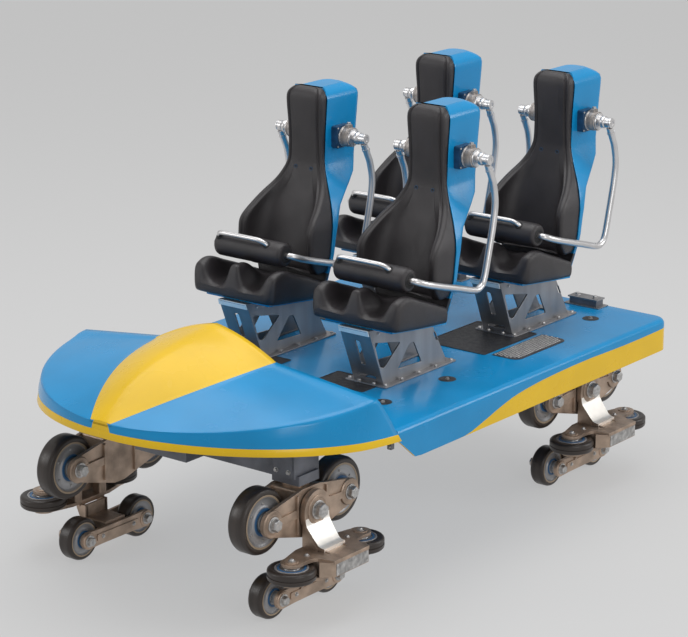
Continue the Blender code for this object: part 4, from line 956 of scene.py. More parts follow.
# Heights of the rings that the pad and the shell are drawn through, in millimetres
PAD_HEIGHTS = (1218.5, 1221.5, 1232, 1255, 1285, 1320, 1355, 1390, 1425, 1455, 1485, 1515,
               1545, 1575, 1605, 1635, 1665, 1700, 1735, 1770, 1820, 1880, 1940, 2000,
               2050, 2085, 2105, 2118, 2126, 2129.5)
SHELL_HEIGHTS = (1085, 1090, 1105, 1130, 1160, 1190, 1218, 1250, 1285, 1320, 1360, 1400, 1450,
                 1500, 1550, 1595, 1640, 1680, 1720, 1760, 1820, 1900, 1980, 2040, 2070, 2090,
                 2105, 2117, 2125.5, 2129.5)
PAD_FOOT, LINING_REAR = 1.218, -0.232    # under the back pad the shell's front is lined
PAD_SCREW_Z = 1.718
# The screw's centre takes the black in painted shade
PAD_SCREW = [(0, -0.004), (0.0105, -0.004), (0.0105, 0.0012), (0.0096, 0.0018),
             (0.0082, 0.0006, SHADED_BLACK), (0, 0.0003, SHADED_BLACK)]
# Wing of the back pad: shares of its wall inwards and of its depth ahead; then over its
# edge, share inwards, metres behind the edge, and whether the bead's groove adds to it
WING_FACE = ((1.75, 0.24), (1.30, 0.45), (1.02, 0.72), (0.90, 0.90))
WING_EDGE = ((0.78, 0.010, 0), (0.66, 0.006, 1), (0.56, 0.004, 1), (0.48, 0.0035, 0),
             (0.30, 0.0025, 0), (0.12, 0.005, 0), (0, 0.014, 0))
# Seat pad stations: Y, centre hump, leg trough, side bolster, half width
PAD_STATIONS = mm((-729, 1205, 1190, 1200, 235), (-699, 1322, 1205, 1292, 262),
                  (-629, 1322, 1200, 1315, 265), (-509, 1240, 1190, 1275, 265),
                  (-274, 1188, 1178, 1184, 250))
PAD_YS = (-728.5, -726.5, -720, -711, -700, -685, -665, -645, -620, -590, -560, -530, -500,
          -465, -430, -390, -350, -315, -290, -275.5)
# Base plate under the pad: front, height there, fall for each metre back
BASE_FRONT, BASE_Z, BASE_FALL = -0.729, 1.153, 0.053 / 0.455
BASE_HALF = 0.204
# Bolts of the pivots' ears, the base plate, the stands' flanges and the stands' sides
EAR_BOLT, BASE_BOLT, FLANGE_BOLT, STAND_BOLT = 0.0095, 0.008, 0.0078, 0.0062
BASE_SLOPE = (0, -0.115, -1)
BLOCK_LOW, BLOCK_HIGH = (-0.0640, -0.0560), (0.0495, 0.0560)    # pivot block
BLOCK_FACE = 0.1495
BLOCK_SCREW = mm((0, 0), (4.8, 0), (4.8, 2.2), (3.4, 3.6), (0, 3.6))
HOUSING_DISC = [(*point, SCREW) for point in mm((0, 149), (53.5, 149), (53.5, 153))]
HOUSING = HOUSING_DISC + [(*point, CAST) for point in mm(
    (51.5, 154.5), (49, 160), (51.5, 164), (51.5, 182), (49, 186), (47, 195), (49, 197.5),
    (49, 202.5), (46.5, 204.5), (0, 204.5))]
EAR = mm((-24, 30), (24, 30), (18, 64), (-18, 64))


def base_height(y):
    """Height of the sloping base plate's upper face."""
    return BASE_Z - BASE_FALL * (y - BASE_FRONT)


def gentle(first, second):
    """Slope at a table's row that doesn't overshoot."""
    return 2 * first * second / (first + second) if first * second > 0 else 0.0


def between(rows, value):
    """Row of a table at a first column's value, on smooth curves through the rows."""
    i = next((i for i in range(len(rows) - 1) if value <= rows[i + 1][0]), len(rows) - 2)
    low, high = rows[i:i + 2]
    before, after = rows[max(i - 1, 0)], rows[min(i + 2, len(rows) - 1)]
    step = high[0] - low[0]
    t = (value - low[0]) / step
    found = [value]
    for k in range(1, len(low)):
        start = stop = slope = (high[k] - low[k]) / step
        if before is not low:
            start = gentle(slope, (low[k] - before[k]) / (low[0] - before[0]))
        if after is not high:
            stop = gentle(slope, (after[k] - high[k]) / (after[0] - high[0]))
        found.append((2 * t ** 3 - 3 * t ** 2 + 1) * low[k]
                     + (t ** 3 - 2 * t ** 2 + t) * step * start
                     + (3 * t ** 2 - 2 * t ** 3) * high[k]
                     + (t ** 3 - t ** 2) * step * stop)
    return found


def mirrored(half, height):
    """Closed level ring from its left half, whose ends lie on the middle."""
    return [(x, y, height) for x, y in half + [(-x, y) for x, y in reversed(half[1:-1])]]


def back_ring(height, bead, shrink):
    """Ring of the back pad: hollow front, raised wings and rounded edges."""
    _, half, front, lead, side, rear, _ = between(BACK_LEVELS, height)
    half -= shrink
    front += shrink
    lead += shrink
    wall = min(0.050, half * 0.30)
    deep = front - lead
    ring = [(0.0, front), (half * 0.26, front - 0.02 * deep),
            (half * 0.50, front - 0.10 * deep)]
    ring += [(half - wall * inward, front - deep * ahead)
             for inward, ahead in WING_FACE]
    ring += [(half - wall * inward, lead + depth + bead * groove)
             for inward, depth, groove in WING_EDGE]
    ring += [(half + 0.0004, lead + 0.030), (half, lead + (side - lead) * 0.6),
             (half, side - 0.006), (half - 0.004, side),
             (half * 0.85, side + (rear - side) * 0.5), (half * 0.70, rear),
             (half * 0.3, rear), (0.0, rear)]
    return mirrored(ring, height)


def back_pad_mesh(bead):
    """Foam back with wings, head rest and two screws."""
    work = bmesh.new()
    rings = []
    for height in (z * MILLIMETRE for z in PAD_HEIGHTS):
        foot = max(0.0, 1 - (height - PAD_FOOT - 0.0005) / 0.0215)
        crown = max(0.0, (height - 2.10) / 0.030)
        shrink = 0.012 * foot ** 2 + 0.016 * crown ** 2.2
        fade = min(1.0, max(0.0, (height - 1.26) / 0.05), max(0.0, (2.12 - height) / 0.04))
        rings.append(back_ring(height, bead * fade, shrink))
    skin_rings(work, rings, slot=FOAM)
    front = between(BACK_LEVELS, PAD_SCREW_Z)[2]
    for x in (-0.050, 0.050):
        # The screws take the blue in painted shade
        add_lathe(work, PAD_SCREW, (x, front - 0.001, PAD_SCREW_Z), (0, -1, 0.05), 16, PAINTED_SHADE_BLUE)
    return to_mesh(work, "back_pad", SEAT_FINISHES, 50)


def shell_ring(height):
    """Ring of the shell, wrapped round the pad's sides."""
    _, half, _, _, side, rear, back = between(SHELL_LEVELS, height)
    foot = max(0.0, 1 - (height - 1.085) / 0.015)
    crown = max(0.0, (height - 2.06) / 0.070)
    shrink = 0.004 * foot + 0.040 * crown ** 3
    outer = half + 0.0042 - shrink
    back -= shrink
    corner = min(0.045, (back - side) * 0.55)
    gap = 0.0006
    ring = [(0.0, rear + gap), (half * 0.70, rear + gap), (half - 0.002, side + gap),
            (outer - 0.001, side + gap - 0.004), (outer, side + gap)]
    ring += [(outer, side + (back - corner - side) * k / 3) for k in (1, 2)]
    ring += arc((outer - corner, back - corner), corner, 0, 90, 6)
    ring += [(outer * 0.4, back), (0.0, back)]
    return mirrored(ring, height)


def shell_mesh():
    """Glossy shell behind the pad, base plate, pivot blocks and cast housings."""
    work = bmesh.new()
    rings = [shell_ring(z * MILLIMETRE) for z in SHELL_HEIGHTS]
    for face in skin_rings(work, rings, slot=BLUE):
        centre = face.calc_center_median()
        if centre.z < PAD_FOOT and centre.y < LINING_REAR:
            face.material_index = FOAM
    base = [(y, base_height(y) + drop - 0.0004)
            for y, drop in ((-0.676, 0), (-0.235, 0), (-0.235, -0.0137), (-0.676, -0.0137))]
    add_prism(work, base, "X", -BASE_HALF, BASE_HALF, BLUE)
    block = raised(oblong(BLOCK_LOW, BLOCK_HIGH, 0.010), PIVOT_Z)
    # The pivot blocks take the blue in painted shade
    add_prism(work, block, "X", -BLOCK_FACE, BLOCK_FACE, PAINTED_SHADE_BLUE)
    for side in (-1, 1):
        out = (side, 0, 0)
        add_lathe(work, HOUSING, (0, 0, PIVOT_Z), out, 44)
        ear = rounded(raised(EAR, PIVOT_Z), 0.007)
        add_prism(work, ear, "X", side * 0.164, side * 0.185, CAST)
        add_bolt(work, (side * 0.1745, 0, PIVOT_Z + 0.0635), UP, EAR_BOLT, SCREW, 1.45)
        for y in (-0.0555, 0.0410):
            for z in (-0.0475, 0.0475):
                place = (side * BLOCK_FACE, y, PIVOT_Z + z)
                add_lathe(work, BLOCK_SCREW, place, out, 10, SCREW)
    for x in (-0.150, 0.150):
        for y in (-0.640, -0.300):
            add_bolt(work, (x, y, base_height(y) - 0.0141), BASE_SLOPE, BASE_BOLT, SCREW, 1.4,
                     True)
    return to_mesh(work, "seat_shell", SEAT_FINISHES, 42)


def seat_pad_mesh():
    """Moulded cushion: rounded front lip, two leg troughs and a horn between them."""
    work = bmesh.new()
    rings = []
    for y in (y * MILLIMETRE for y in PAD_YS):
        _, hump, trough, bolster, half = between(PAD_STATIONS, y)
        low = base_height(y)
        front = max(0.0, (-0.700 - y) / 0.0285) ** 3
        foot = low + 0.014 * front
        half -= 0.004 * front
        horn, wing = hump - trough, bolster - trough
        rise = min(1.0, max(0.0, horn / 0.10))
        section = [(0.0, hump), (0.012, hump - 0.0008), (0.024, hump - 0.006 * rise),
                   (0.036, trough + horn * (0.62 + 0.2 * (1 - rise))),
                   (0.048, trough + horn * 0.33 + 0.004)]
        section += [(x, trough + lift) for x, lift in (
            (0.064, 0.010), (0.086, 0.002), (0.110, 0), (0.136, 0.003),
            (0.160, 0.013 * rise + 0.002), (0.182, wing * 0.46), (0.198, wing * 0.80))]
        section += [(0.212, bolster - 0.004)]
        section += [(half - inward, bolster - drop) for inward, drop in mm(
            (34, 0), (18, 1.5), (7, 8), (1, 22))]
        section += [(half, low + (bolster - low) * 0.45 + 0.006)]
        section += [(half - inward, foot + lift) for inward, lift in mm(
            (2, 20), (9, 6), (22, 0.8))]
        section += [(half * 0.5, foot), (0.0, foot)]
        rings.append([(x, y, z) for x, z, _ in mirrored(section, y)])
    skin_rings(work, rings, slot=FOAM)
    return to_mesh(work, "seat_pad", SEAT_FINISHES, 60)


# Lap bars
ROLL_PLACE = Vector((0, -0.552, 1.372))
ROLL_RADIUS = 0.062
TUBE_RADIUS, NECK_RADIUS = 0.0172, 0.0140    # the tube is thinner inside the roll
ROLL_END = 0.222
ARM_ROUTE = mm((272, 0, 1850), (272, 30, 1790), (272, 52, 1740), (272, 68, 1650),
               (272, 55, 1550), (272, 18, 1402), (272, -18, 1276), (272, -52, 1240),
               (272, -104, 1237), (272, -250, 1279), (272, -400, 1322), (266, -490, 1350),
               (248, -538, 1368), (220, -552, 1372), (150, -552, 1372))
KNOB = mm((0, 205.4), (44, 205.4), (44, 210), (42.5, 211.5), (32, 212), (24, 215), (23.5, 219),
          (29, 225), (32, 233), (32, 243), (28.5, 250), (24.5, 252), (24.5, 254),
          (26.8, 255.5), (26.8, 277), (24.5, 278.5), (24.5, 280), (26.2, 281.5), (26.2, 286),
          (23.5, 288.8), (12, 288.8), (11, 286.5), (0, 286.5))
TUBE_RING = mm((17.4, 0), (20.5, 0), (20.5, 10), (17.4, 12))
ROLL_HALF = mm((14.6, -214.5), (44, -214.5), (52, -212), (58, -206), (61.2, -196),
               (61.8, -170), (62, -85))
ROLL = ROLL_HALF + [(ROLL_RADIUS, 0)] + [(r, -x) for r, x in reversed(ROLL_HALF)]
ROLL_DISC = mm((18, 0), (38, 0), (38, 1), (36, 2.2), (26, 2.6), (24, 1), (18, 1))
# Grab handle: X and height over the roll; it leans back by this angle
HANDLE = mm((-185, -14), (-183.5, 6), (-176, 20.5), (-160, 28), (-100, 29), (0, 29), (65, 28),
            (94, 22), (112, 9), (124, -14))
HANDLE_LEAN = math.radians(52)
HANDLE_RADIUS = 0.0122
SOCKET = mm((12, 0), (21.5, 0), (20.5, 5), (17.5, 7.2), (14, 6.8), (12, 4))


def lap_frame_mesh():
    """Chrome tube from knob to knob, with the turned pivot ends."""
    work = bmesh.new()
    for side in (-1, 1):
        arm = [(side * x, y, z) for x, y, z in smooth_path(ARM_ROUTE, 6)]
        radii = [TUBE_RADIUS if abs(x) > ROLL_END else NECK_RADIUS for x, _, _ in arm]
        add_tube(work, arm, radii, 20, CHROME)
        add_lathe(work, KNOB, (0, 0, PIVOT_Z), (side, 0, 0), 40, CHROME)
        add_lathe(work, TUBE_RING, (side * 0.272, 0.014, 1.825), (0, 0.40, -0.916), 24, CHROME)
    core = [ROLL_PLACE + Vector((x, 0, 0)) for x in (-0.216, 0, 0.216)]
    add_tube(work, core, NECK_RADIUS, 20, CHROME)
    return to_mesh(work, "lap_frame", SEAT_FINISHES, 40)


def lap_roll_mesh():
    """Foam roll with end discs and a chrome grab handle in moulded sockets."""
    work = bmesh.new()
    add_lathe(work, ROLL, ROLL_PLACE, LEFTWARD, 44, FOAM)
    for side in (-1, 1):
        place = ROLL_PLACE + Vector((side * 0.2143, 0, 0))
        # The end discs take the black in painted shade
        add_lathe(work, ROLL_DISC, place, (side, 0, 0), 32, SHADED_BLACK)
    out = Vector((0, -math.cos(HANDLE_LEAN), math.sin(HANDLE_LEAN)))
    path = [ROLL_PLACE + Vector((x, 0, 0)) + out * (ROLL_RADIUS + reach)
            for x, reach in HANDLE]
    add_tube(work, smooth_path(path, 5), HANDLE_RADIUS, 18, CHROME)
    for x in (-0.1842, 0.1175):
        place = ROLL_PLACE + Vector((x, 0, 0)) + out * (ROLL_RADIUS - 0.004)
        # The sockets take the black in painted shade
        add_lathe(work, SOCKET, place, out, 26, SHADED_BLACK)
    return to_mesh(work, "lap_roll", SEAT_FINISHES, 50)


# Seat stands
STAND_FOOT = 0.8303
STAND_GAP = 0.0146           # the stand's top lies this much under the base plate's face
STAND_FRONT, STAND_REAR = -0.715, -0.215
STAND_LEAN = 0.124           # how far the front plate leans ahead
CUTOUTS = (rounded(mm((-668, 1066), (-458, 1024), (-590, 922), (-622, 932)), 0.014, 6),
           rounded(mm((-385, 1000), (-350, 1000), (-286, 882), (-482, 890)), 0.012, 6),
           rounded(mm((-190, 1008), (-172, 1008), (-146, 962), (-164, 962)), 0.006, 4))
LIP = mm((-721.5, -1), (-718.5, 0.4), (-708, -30), (-713.5, -30))
STAND_BOLTS = ([(x, y) for x in (-0.1095, 0.1095) for y in (-0.60, -0.47, -0.33, -0.19, -0.06)]
               + [(x, y) for y in (-0.610, -0.052) for x in (-0.045, 0.045)])


def pedestal_mesh():
    """Folded stand: two cut-out side plates, slotted front plate, top and foot flange."""
    work = bmesh.new()
    foot = STAND_FOOT
    front_top, rear_top = (base_height(y) - STAND_GAP for y in (STAND_FRONT, STAND_REAR))
    outline = rounded([(-0.591, foot + 0.002), (-0.072, foot + 0.002), (STAND_REAR, rear_top),
                       (STAND_FRONT, front_top)], 0.012, 5)
    cheek = plate_mesh("stand_side", outline, CUTOUTS)
    stand = Matrix(((0, 0, 1, 0), (1, 0, 0, 0), (0, 1, 0, 0), (0, 0, 0, 1)))
    for x in (-0.0878, 0.0878):
        add_mesh(work, cheek, Matrix.Translation((x, 0, 0)) @ stand, STEEL)
    height = math.hypot(STAND_LEAN, front_top - foot)
    front = oblong((-0.0915, 0.004), (0.0915, height - 0.002), 0.006, 3)
    high = oblong((-0.014, height * 0.34), (0.014, height * 0.78), 0.012, 5)
    low = oblong((-0.055, 0.030), (0.055, 0.052), 0.008)
    plate = plate_mesh("stand_front", front, (high, low))
    lean = math.atan2(STAND_LEAN, front_top - foot)
    upright = Matrix.Rotation(lean, 4, "X") @ Matrix.Rotation(math.pi / 2, 4, "X")
    add_mesh(work, plate, Matrix.Translation((0, -0.587, foot)) @ upright, STEEL)
    top = [(-0.720, front_top - 0.0082), (-0.720, front_top - 0.0002),
           (STAND_REAR, rear_top - 0.0002), (STAND_REAR, rear_top - 0.0082)]
    add_prism(work, top, "X", -0.0835, 0.0835, STEEL)
    # The front lip takes the cream painted highlight
    add_prism(work, raised(LIP, front_top), "X", -0.0905, 0.0905, CREAM_HIGHLIGHT)
    flange = oblong((-0.127, -0.626), (0.127, -0.037), 0.014, 5)
    window = oblong((-0.076, -0.570), (0.076, -0.090), 0.012, 5)
    base = plate_mesh("stand_base", flange, (window,))
    add_mesh(work, base, Matrix.Translation((0, 0, foot + PLATE_HALF)), STEEL)
    for x, y in STAND_BOLTS:
        add_bolt(work, (x, y, foot + 2 * PLATE_HALF), UP, FLANGE_BOLT, SCREW)
    for side in (-1, 1):
        for y in (-0.640, -0.250):
            z = base_height(y) - STAND_GAP - 0.022
            add_bolt(work, (side * 0.0918, y, z), (side, 0, 0), STAND_BOLT, SCREW, 1.4)
    for mesh in (cheek, plate, base):
        bpy.data.meshes.remove(mesh)
    return to_mesh(work, "pedestal", SEAT_FINISHES, 38)


class COASTER_OT_seats(bpy.types.Operator):
    """Bucket seats, their stands and the lap bars"""
    bl_idname = "coaster.seats"
    bl_label = "Seats and lap bars"

    def execute(self, context):
        bead = context.scene.coaster_sizes.foam_bead
        # Piece, mesh, record's slot, rides on the lap bar, bevel, rounds of smoothing
        pieces = (("back_pad", back_pad_mesh(bead), "foam", False, 0.0, 1),
                  ("seat_pad", seat_pad_mesh(), "foam", False, 0.0, 1),
                  ("seat_shell", shell_mesh(), "blue_panel", False, 0.001, 0),
                  ("pedestal", pedestal_mesh(), "bright_steel", False, 0.0, 0),
                  ("lap_frame", lap_frame_mesh(), "chrome", True, 0.0, 0),
                  ("lap_roll", lap_roll_mesh(), "foam", True, 0.0, 0))
        for label, _ in LABELS:
            bar = f"lap_bar_{label}"
            place = (JOINTS[bar].x, JOINTS[bar].y, 0)
            for kind, mesh, slot, swings, bevel, levels in pieces:
                item = put(f"look_{kind}_{label}", mesh, bar if swings else "car",
                           [f"{kind}_{label}"], place, bevel, levels)
        return {"FINISHED"}


# Deck

DECK_TOP, DECK_LOW = 0.830, 0.660
DECK_FRONT, DECK_REAR = -0.691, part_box("deck")[1][1]
DECK_HALF = 0.930
DECK_FINISHES = ("blue_paint", "yellow_paint", "frame_paint")
CORNER = 0.080
SKIRT_THICKNESS, PLATE_THICKNESS = 0.0116, 0.012
COUPLER_HALF = 0.1205        # half width of the rear skirt's notch
SKIRT_LEAN = (0.139, 0.115)  # the skirt's front end leans back: its length, its rise
PATH_STEP = 0.05
HAIR = 0.0002                # keeps faces that touch from lying in one plane
ON_DECK = DECK_TOP + HAIR
# Lower edge of the blue on the skirt: Y, Z
SWOOSH = mm((-187, 657.5), (-110, 668), (-40, 685), (31, 703), (100, 722), (175, 740),
            (245, 754), (321, 764.5), (470, 776), (622, 782), (777, 785), (935, 785),
            (1096, 781), (1259, 777.5), (1426, 777.5), (1595, 780), (1700, 783))


def deck_path():
    """Half outline of the deck from above, from the front round to the rear middle."""
    path = [(DECK_HALF, DECK_FRONT + 0.012 * k) for k in range(12)]
    while path[-1][1] < DECK_REAR - CORNER - 0.06:
        path.append((DECK_HALF, path[-1][1] + PATH_STEP))
    path += arc((DECK_HALF - CORNER, DECK_REAR - CORNER), CORNER, 0, 90, 14)
    x = DECK_HALF - CORNER
    while x > 0.14:
        x -= PATH_STEP
        path.append((max(x, COUPLER_HALF), DECK_REAR))
    if path[-1][0] > COUPLER_HALF + 0.0001:
        path.append((COUPLER_HALF, DECK_REAR))
    return path


def skirt_foot(y):
    """Height of the skirt's lower edge."""
    length, rise = SKIRT_LEAN
    return DECK_LOW + rise * max(0.0, 1 - (y - DECK_FRONT) / length)


def line_height(rows, value):
    """Height of a line through the rows."""
    for (a, b), (c, d) in zip(rows, rows[1:]):
        if value <= c:
            return b + (d - b) * max(0.0, value - a) / (c - a)
    return rows[-1][1]


def skirt_ring(x, y, edge):
    """From the skirt's inner foot up its face and over the rounded edge."""
    around, along = x - DECK_HALF + CORNER, y - DECK_REAR + CORNER
    out = Vector((1, 0))
    if along > -1e-6:
        out = Vector((around, along)).normalized() if around > 0 else Vector((0, 1))
    foot = skirt_foot(y)
    split = foot + 2 * HAIR
    if y >= SWOOSH[0][0]:
        split = max(line_height(SWOOSH, y), split)
    ring = [(x - out.x * depth, y - out.y * depth, height) for depth, height in (
        (SKIRT_THICKNESS, foot), (0.0008, foot), (0.0, foot + HAIR))]
    ring += [(x, y, split), (x, y, (split + DECK_TOP - edge) / 2)]
    return ring + [(x + out.x * u, y + out.y * u, v)
                   for u, v in arc((-edge, DECK_TOP - edge), edge, 0, 90, 6)]


def flipped(points):
    """The same points on the other side, in reverse."""
    return [(-x, y, z) for x, y, z in reversed(points)]


def deck_mesh(edge):
    """Plate with a rounded edge, skirts and the yellow swoosh along their feet."""
    work = bmesh.new()
    half_rings = [skirt_ring(x, y, edge) for x, y in deck_path()]
    low = DECK_TOP - PLATE_THICKNESS
    under = [(ring[0][0], ring[0][1], low) for ring in half_rings]
    slots = [1, 1, 1] + [0] * (len(half_rings[0]) - 4)
    for sign in (1, -1):
        skin_rings(work, [[(sign * x, y, z) for x, y, z in ring] for ring in half_rings],
                   closed=False, caps=False, slot=slots)
        skin_rings(work, [[(sign * x, y, z) for x, y, z in (ring[0], foot)]
                          for ring, foot in zip(half_rings, under)], closed=False, caps=False)
    rim = [ring[-1] for ring in half_rings]
    end = half_rings[0]
    inner_x = DECK_HALF - SKIRT_THICKNESS
    inner = [(x, DECK_FRONT, low - edge) for x in (-inner_x, inner_x)]
    face = end[3:] + flipped(end[3:]) + inner
    for points in (rim + flipped(rim), under + flipped(under), face):
        new_face(work, [work.verts.new(point) for point in points])
    for sign in (1, -1):
        post = end[:4] + [(x, DECK_FRONT, low - edge) for x in (DECK_HALF, inner_x)]
        new_face(work, [work.verts.new((sign * x, y, z)) for x, y, z in post])
    strip = oblong((0.120, 0.805), (-0.120, DECK_TOP - 0.001))
    skin_rings(work, [[(x, y, z) for x, z in strip]
                      for y in (DECK_REAR - 0.0118, DECK_REAR - HAIR)])
    bmesh.ops.remove_doubles(work, verts=work.verts, dist=0.00004)
    bmesh.ops.recalc_face_normals(work, faces=work.faces)
    for x in (-0.60, -0.20, 0.20, 0.60):
        add_box(work, (x - 0.012, DECK_FRONT + 0.30, low - HAIR),
                (x + 0.012, DECK_REAR - 0.05, low + HAIR), 2)
    return to_mesh(work, "deck", DECK_FINISHES, 40)


# Rubber mats: middle X, middle Y, half width, half length
MATS = mm((300, -247.5, 152, 97.5), (370, 757.5, 190, 237.5))
# Rings of a mat: share of its outline, share of its height
MAT_RINGS = ((1, 0), (1, 0.75), (0.990, 1), (0.965, 1), (0.965, 0.72))
# Step plates: inner X, outer X, front Y, rear Y
STEP_PLATE = (0.587, 0.745, 0.545, 1.000)
STEP_ROUND = 0.045
DIMPLE = mm((6.4, 0), (5.8, 2.6), (4, 4.2), (0, 4.8))
DIMPLE_PITCH, DIMPLE_EDGE = 0.0175, 0.014
CAPS = ((0.619, -0.402), (0.647, 0.081), (0.618, 1.410))
CAP = mm((0, 0), (44, 0), (44, 0.8), (41.5, 2.2), (18, 2.2), (16.5, 1), (0, 1))
CAP_BOLT, LATCH_BOLT = 0.007, 0.011
# Rear latch: half width, front Y, rear Y, foot and top over the deck, finish
LATCH_X = 0.45
LATCH = ((0.085, 1.590, 1.658, 0.0002, 0.038, 0), (0.092, 1.584, 1.664, 0.0378, 0.046, 1),
         (0.110, 1.575, 1.672, 0.0001, 0.006, 1))


def scaled(outline, middle, share):
    """Outline drawn in towards its middle, as points in X and Y."""
    middle = Vector(middle)
    return [tuple(middle + (Vector(point) - middle) * share) for point in outline]


def mats_mesh(sign, height):
    """Two mats with a raised rim."""
    work = bmesh.new()
    for x, y, half_x, half_y in MATS:
        x *= sign
        outline = oblong((x - half_x, y - half_y), (x + half_x, y + half_y), 0.012)
        skin_rings(work, [[(u, v, ON_DECK + height * rise)
                           for u, v in scaled(outline, (x, y), share)]
                          for share, rise in MAT_RINGS])
    return work


def step_plate_mesh(sign):
    """Bright plate pressed with rows of dimples, its outer corners rounded."""
    work = bmesh.new()
    inner, outer, front, rear = STEP_PLATE
    turn = outer - STEP_ROUND
    outline = [(inner, front)] + arc((turn, front + STEP_ROUND), STEP_ROUND, -90, 0, 8)
    outline += arc((turn, rear - STEP_ROUND), STEP_ROUND, 0, 90, 8) + [(inner, rear)]
    outline = [(sign * x, y) for x, y in outline]
    middle = (sign * (inner + outer) / 2, (front + rear) / 2)
    skin_rings(work, [[(x, y, ON_DECK + height) for x, y in scaled(outline, middle, share)]
                      for share, height in ((1, 0), (1, 0.0022), (0.985, 0.0030))], slot=1)
    columns = int((outer - inner - 0.024) / DIMPLE_PITCH) + 1
    rows = int((rear - front - 0.024) / DIMPLE_PITCH) + 1
    for i in range(columns):
        for j in range(rows):
            x = inner + DIMPLE_EDGE + i * DIMPLE_PITCH
            y = front + DIMPLE_EDGE + (j + i % 2 / 2) * DIMPLE_PITCH
            if y > rear - 0.010 or (x > turn and not front + 0.03 <= y <= rear - 0.03):
                continue
            add_lathe(work, DIMPLE, (sign * x, y, ON_DECK + 0.0028), UP, 8, 0)
    return work


def caps_mesh(sign):
    """Flush rubber caps, each with a bolt."""
    work = bmesh.new()
    for x, y in CAPS:
        add_lathe(work, CAP, (sign * x, y, ON_DECK), UP, 40, 0)
        add_bolt(work, (sign * x, y, DECK_TOP + 0.001), UP, CAP_BOLT, 1, 1.6)
    return work


def latch_mesh(sign):
    """Latch between a foot plate and a cover, with two bolts."""
    work = bmesh.new()
    x = sign * LATCH_X
    for half, front, rear, low, high, finish in LATCH:
        add_box(work, (x - half, front, DECK_TOP + low), (x + half, rear, DECK_TOP + high),
                finish)
    for k in (-0.055, 0.055):
        add_bolt(work, (x + k, 1.624, DECK_TOP + 0.046), UP, LATCH_BOLT, 2)
    return work


class COASTER_OT_deck(bpy.types.Operator):
    """Deck panel with its floor mats, step plates, caps and rear latch"""
    bl_idname = "coaster.deck"
    bl_label = "Deck"

    def execute(self, context):
        sizes = context.scene.coaster_sizes
        put("look_deck", deck_mesh(sizes.deck_round), "car", ["deck"])
        for side, sign in SIDES:
            put_on_car(f"floor_mats_{side}", mats_mesh(sign, sizes.mat_height),
                       ("mat_rubber",), 40)
            put_on_car(f"step_plate_{side}", step_plate_mesh(sign),
                       ("zinc_bolt", "pressed_plate"), 30)
            put_on_car(f"floor_caps_{side}", caps_mesh(sign), ("mat_rubber", "zinc_bolt"))
            put_on_car(f"rear_latch_{side}", latch_mesh(sign),
                       ("frame_paint", "brushed_steel", "zinc_bolt"), bevel=0.0025)
        return {"FINISHED"}


# Nose

NOSE_HALF = 0.9485
NOSE_CENTRE, NOSE_TIP, NOSE_TOP_REAR = -0.750, -1.6985, -0.829
NOSE_REAR_LEAN = 0.055       # how far the dome's rear edge lies ahead of its corners
NOSE_DEPTH = (NOSE_CENTRE - NOSE_TIP) / math.sin(math.radians(84))
NOSE_FOOT_REAR = DECK_FRONT - 0.0006
NOSE_SKIN = 0.005
SETTLE_ANGLE = 13.0          # degrees from the rear corner to where the plan is an ellipse
# Heights, X and how much of each goes towards the tip, with the power of its curve
FOOT_Z, FOOT_SLOPE = 0.775, 0.091
EDGE_Z, EDGE_FALL = 1.014, 0.076
STRIPE_X, STRIPE_TAPER, STRIPE_POWER = 0.360, 0.300, 2.3
SHOULDER_Z, SHOULDER_FALL, SHOULDER_POWER = 1.096, 0.152, 2.5
CREST_Z, CREST_FALL, CREST_POWER = 1.222, 0.272, 2.7
# Degrees round the plan from the rear corner to the tip
NOSE_ROWS = [0, 2, *range(5, 74, 4), 76, 79, 81.5, 83.6, 85, 86, 86.6]
# Shares of the way up the band, then from its top edge to the stripe, and over the stripe
TRIM_STEPS, BAND_STEPS = (0.5, 1.0), (0.50, 0.72, 0.90, 0.96)
SHOULDER_STEPS = (0, 0.005, 0.012, 0.02, 0.06, 0.14, 0.26, 0.40, 0.55, 0.70, 0.84, 0.94, 1)
CREST_STEPS = (0.06, 0.14, 0.26, 0.40, 0.55, 0.70, 0.85, 1)
BAND_BULGE = 0.005
EDGE_ROUND, EDGE_ROUND_SHARE = 0.007, 0.020


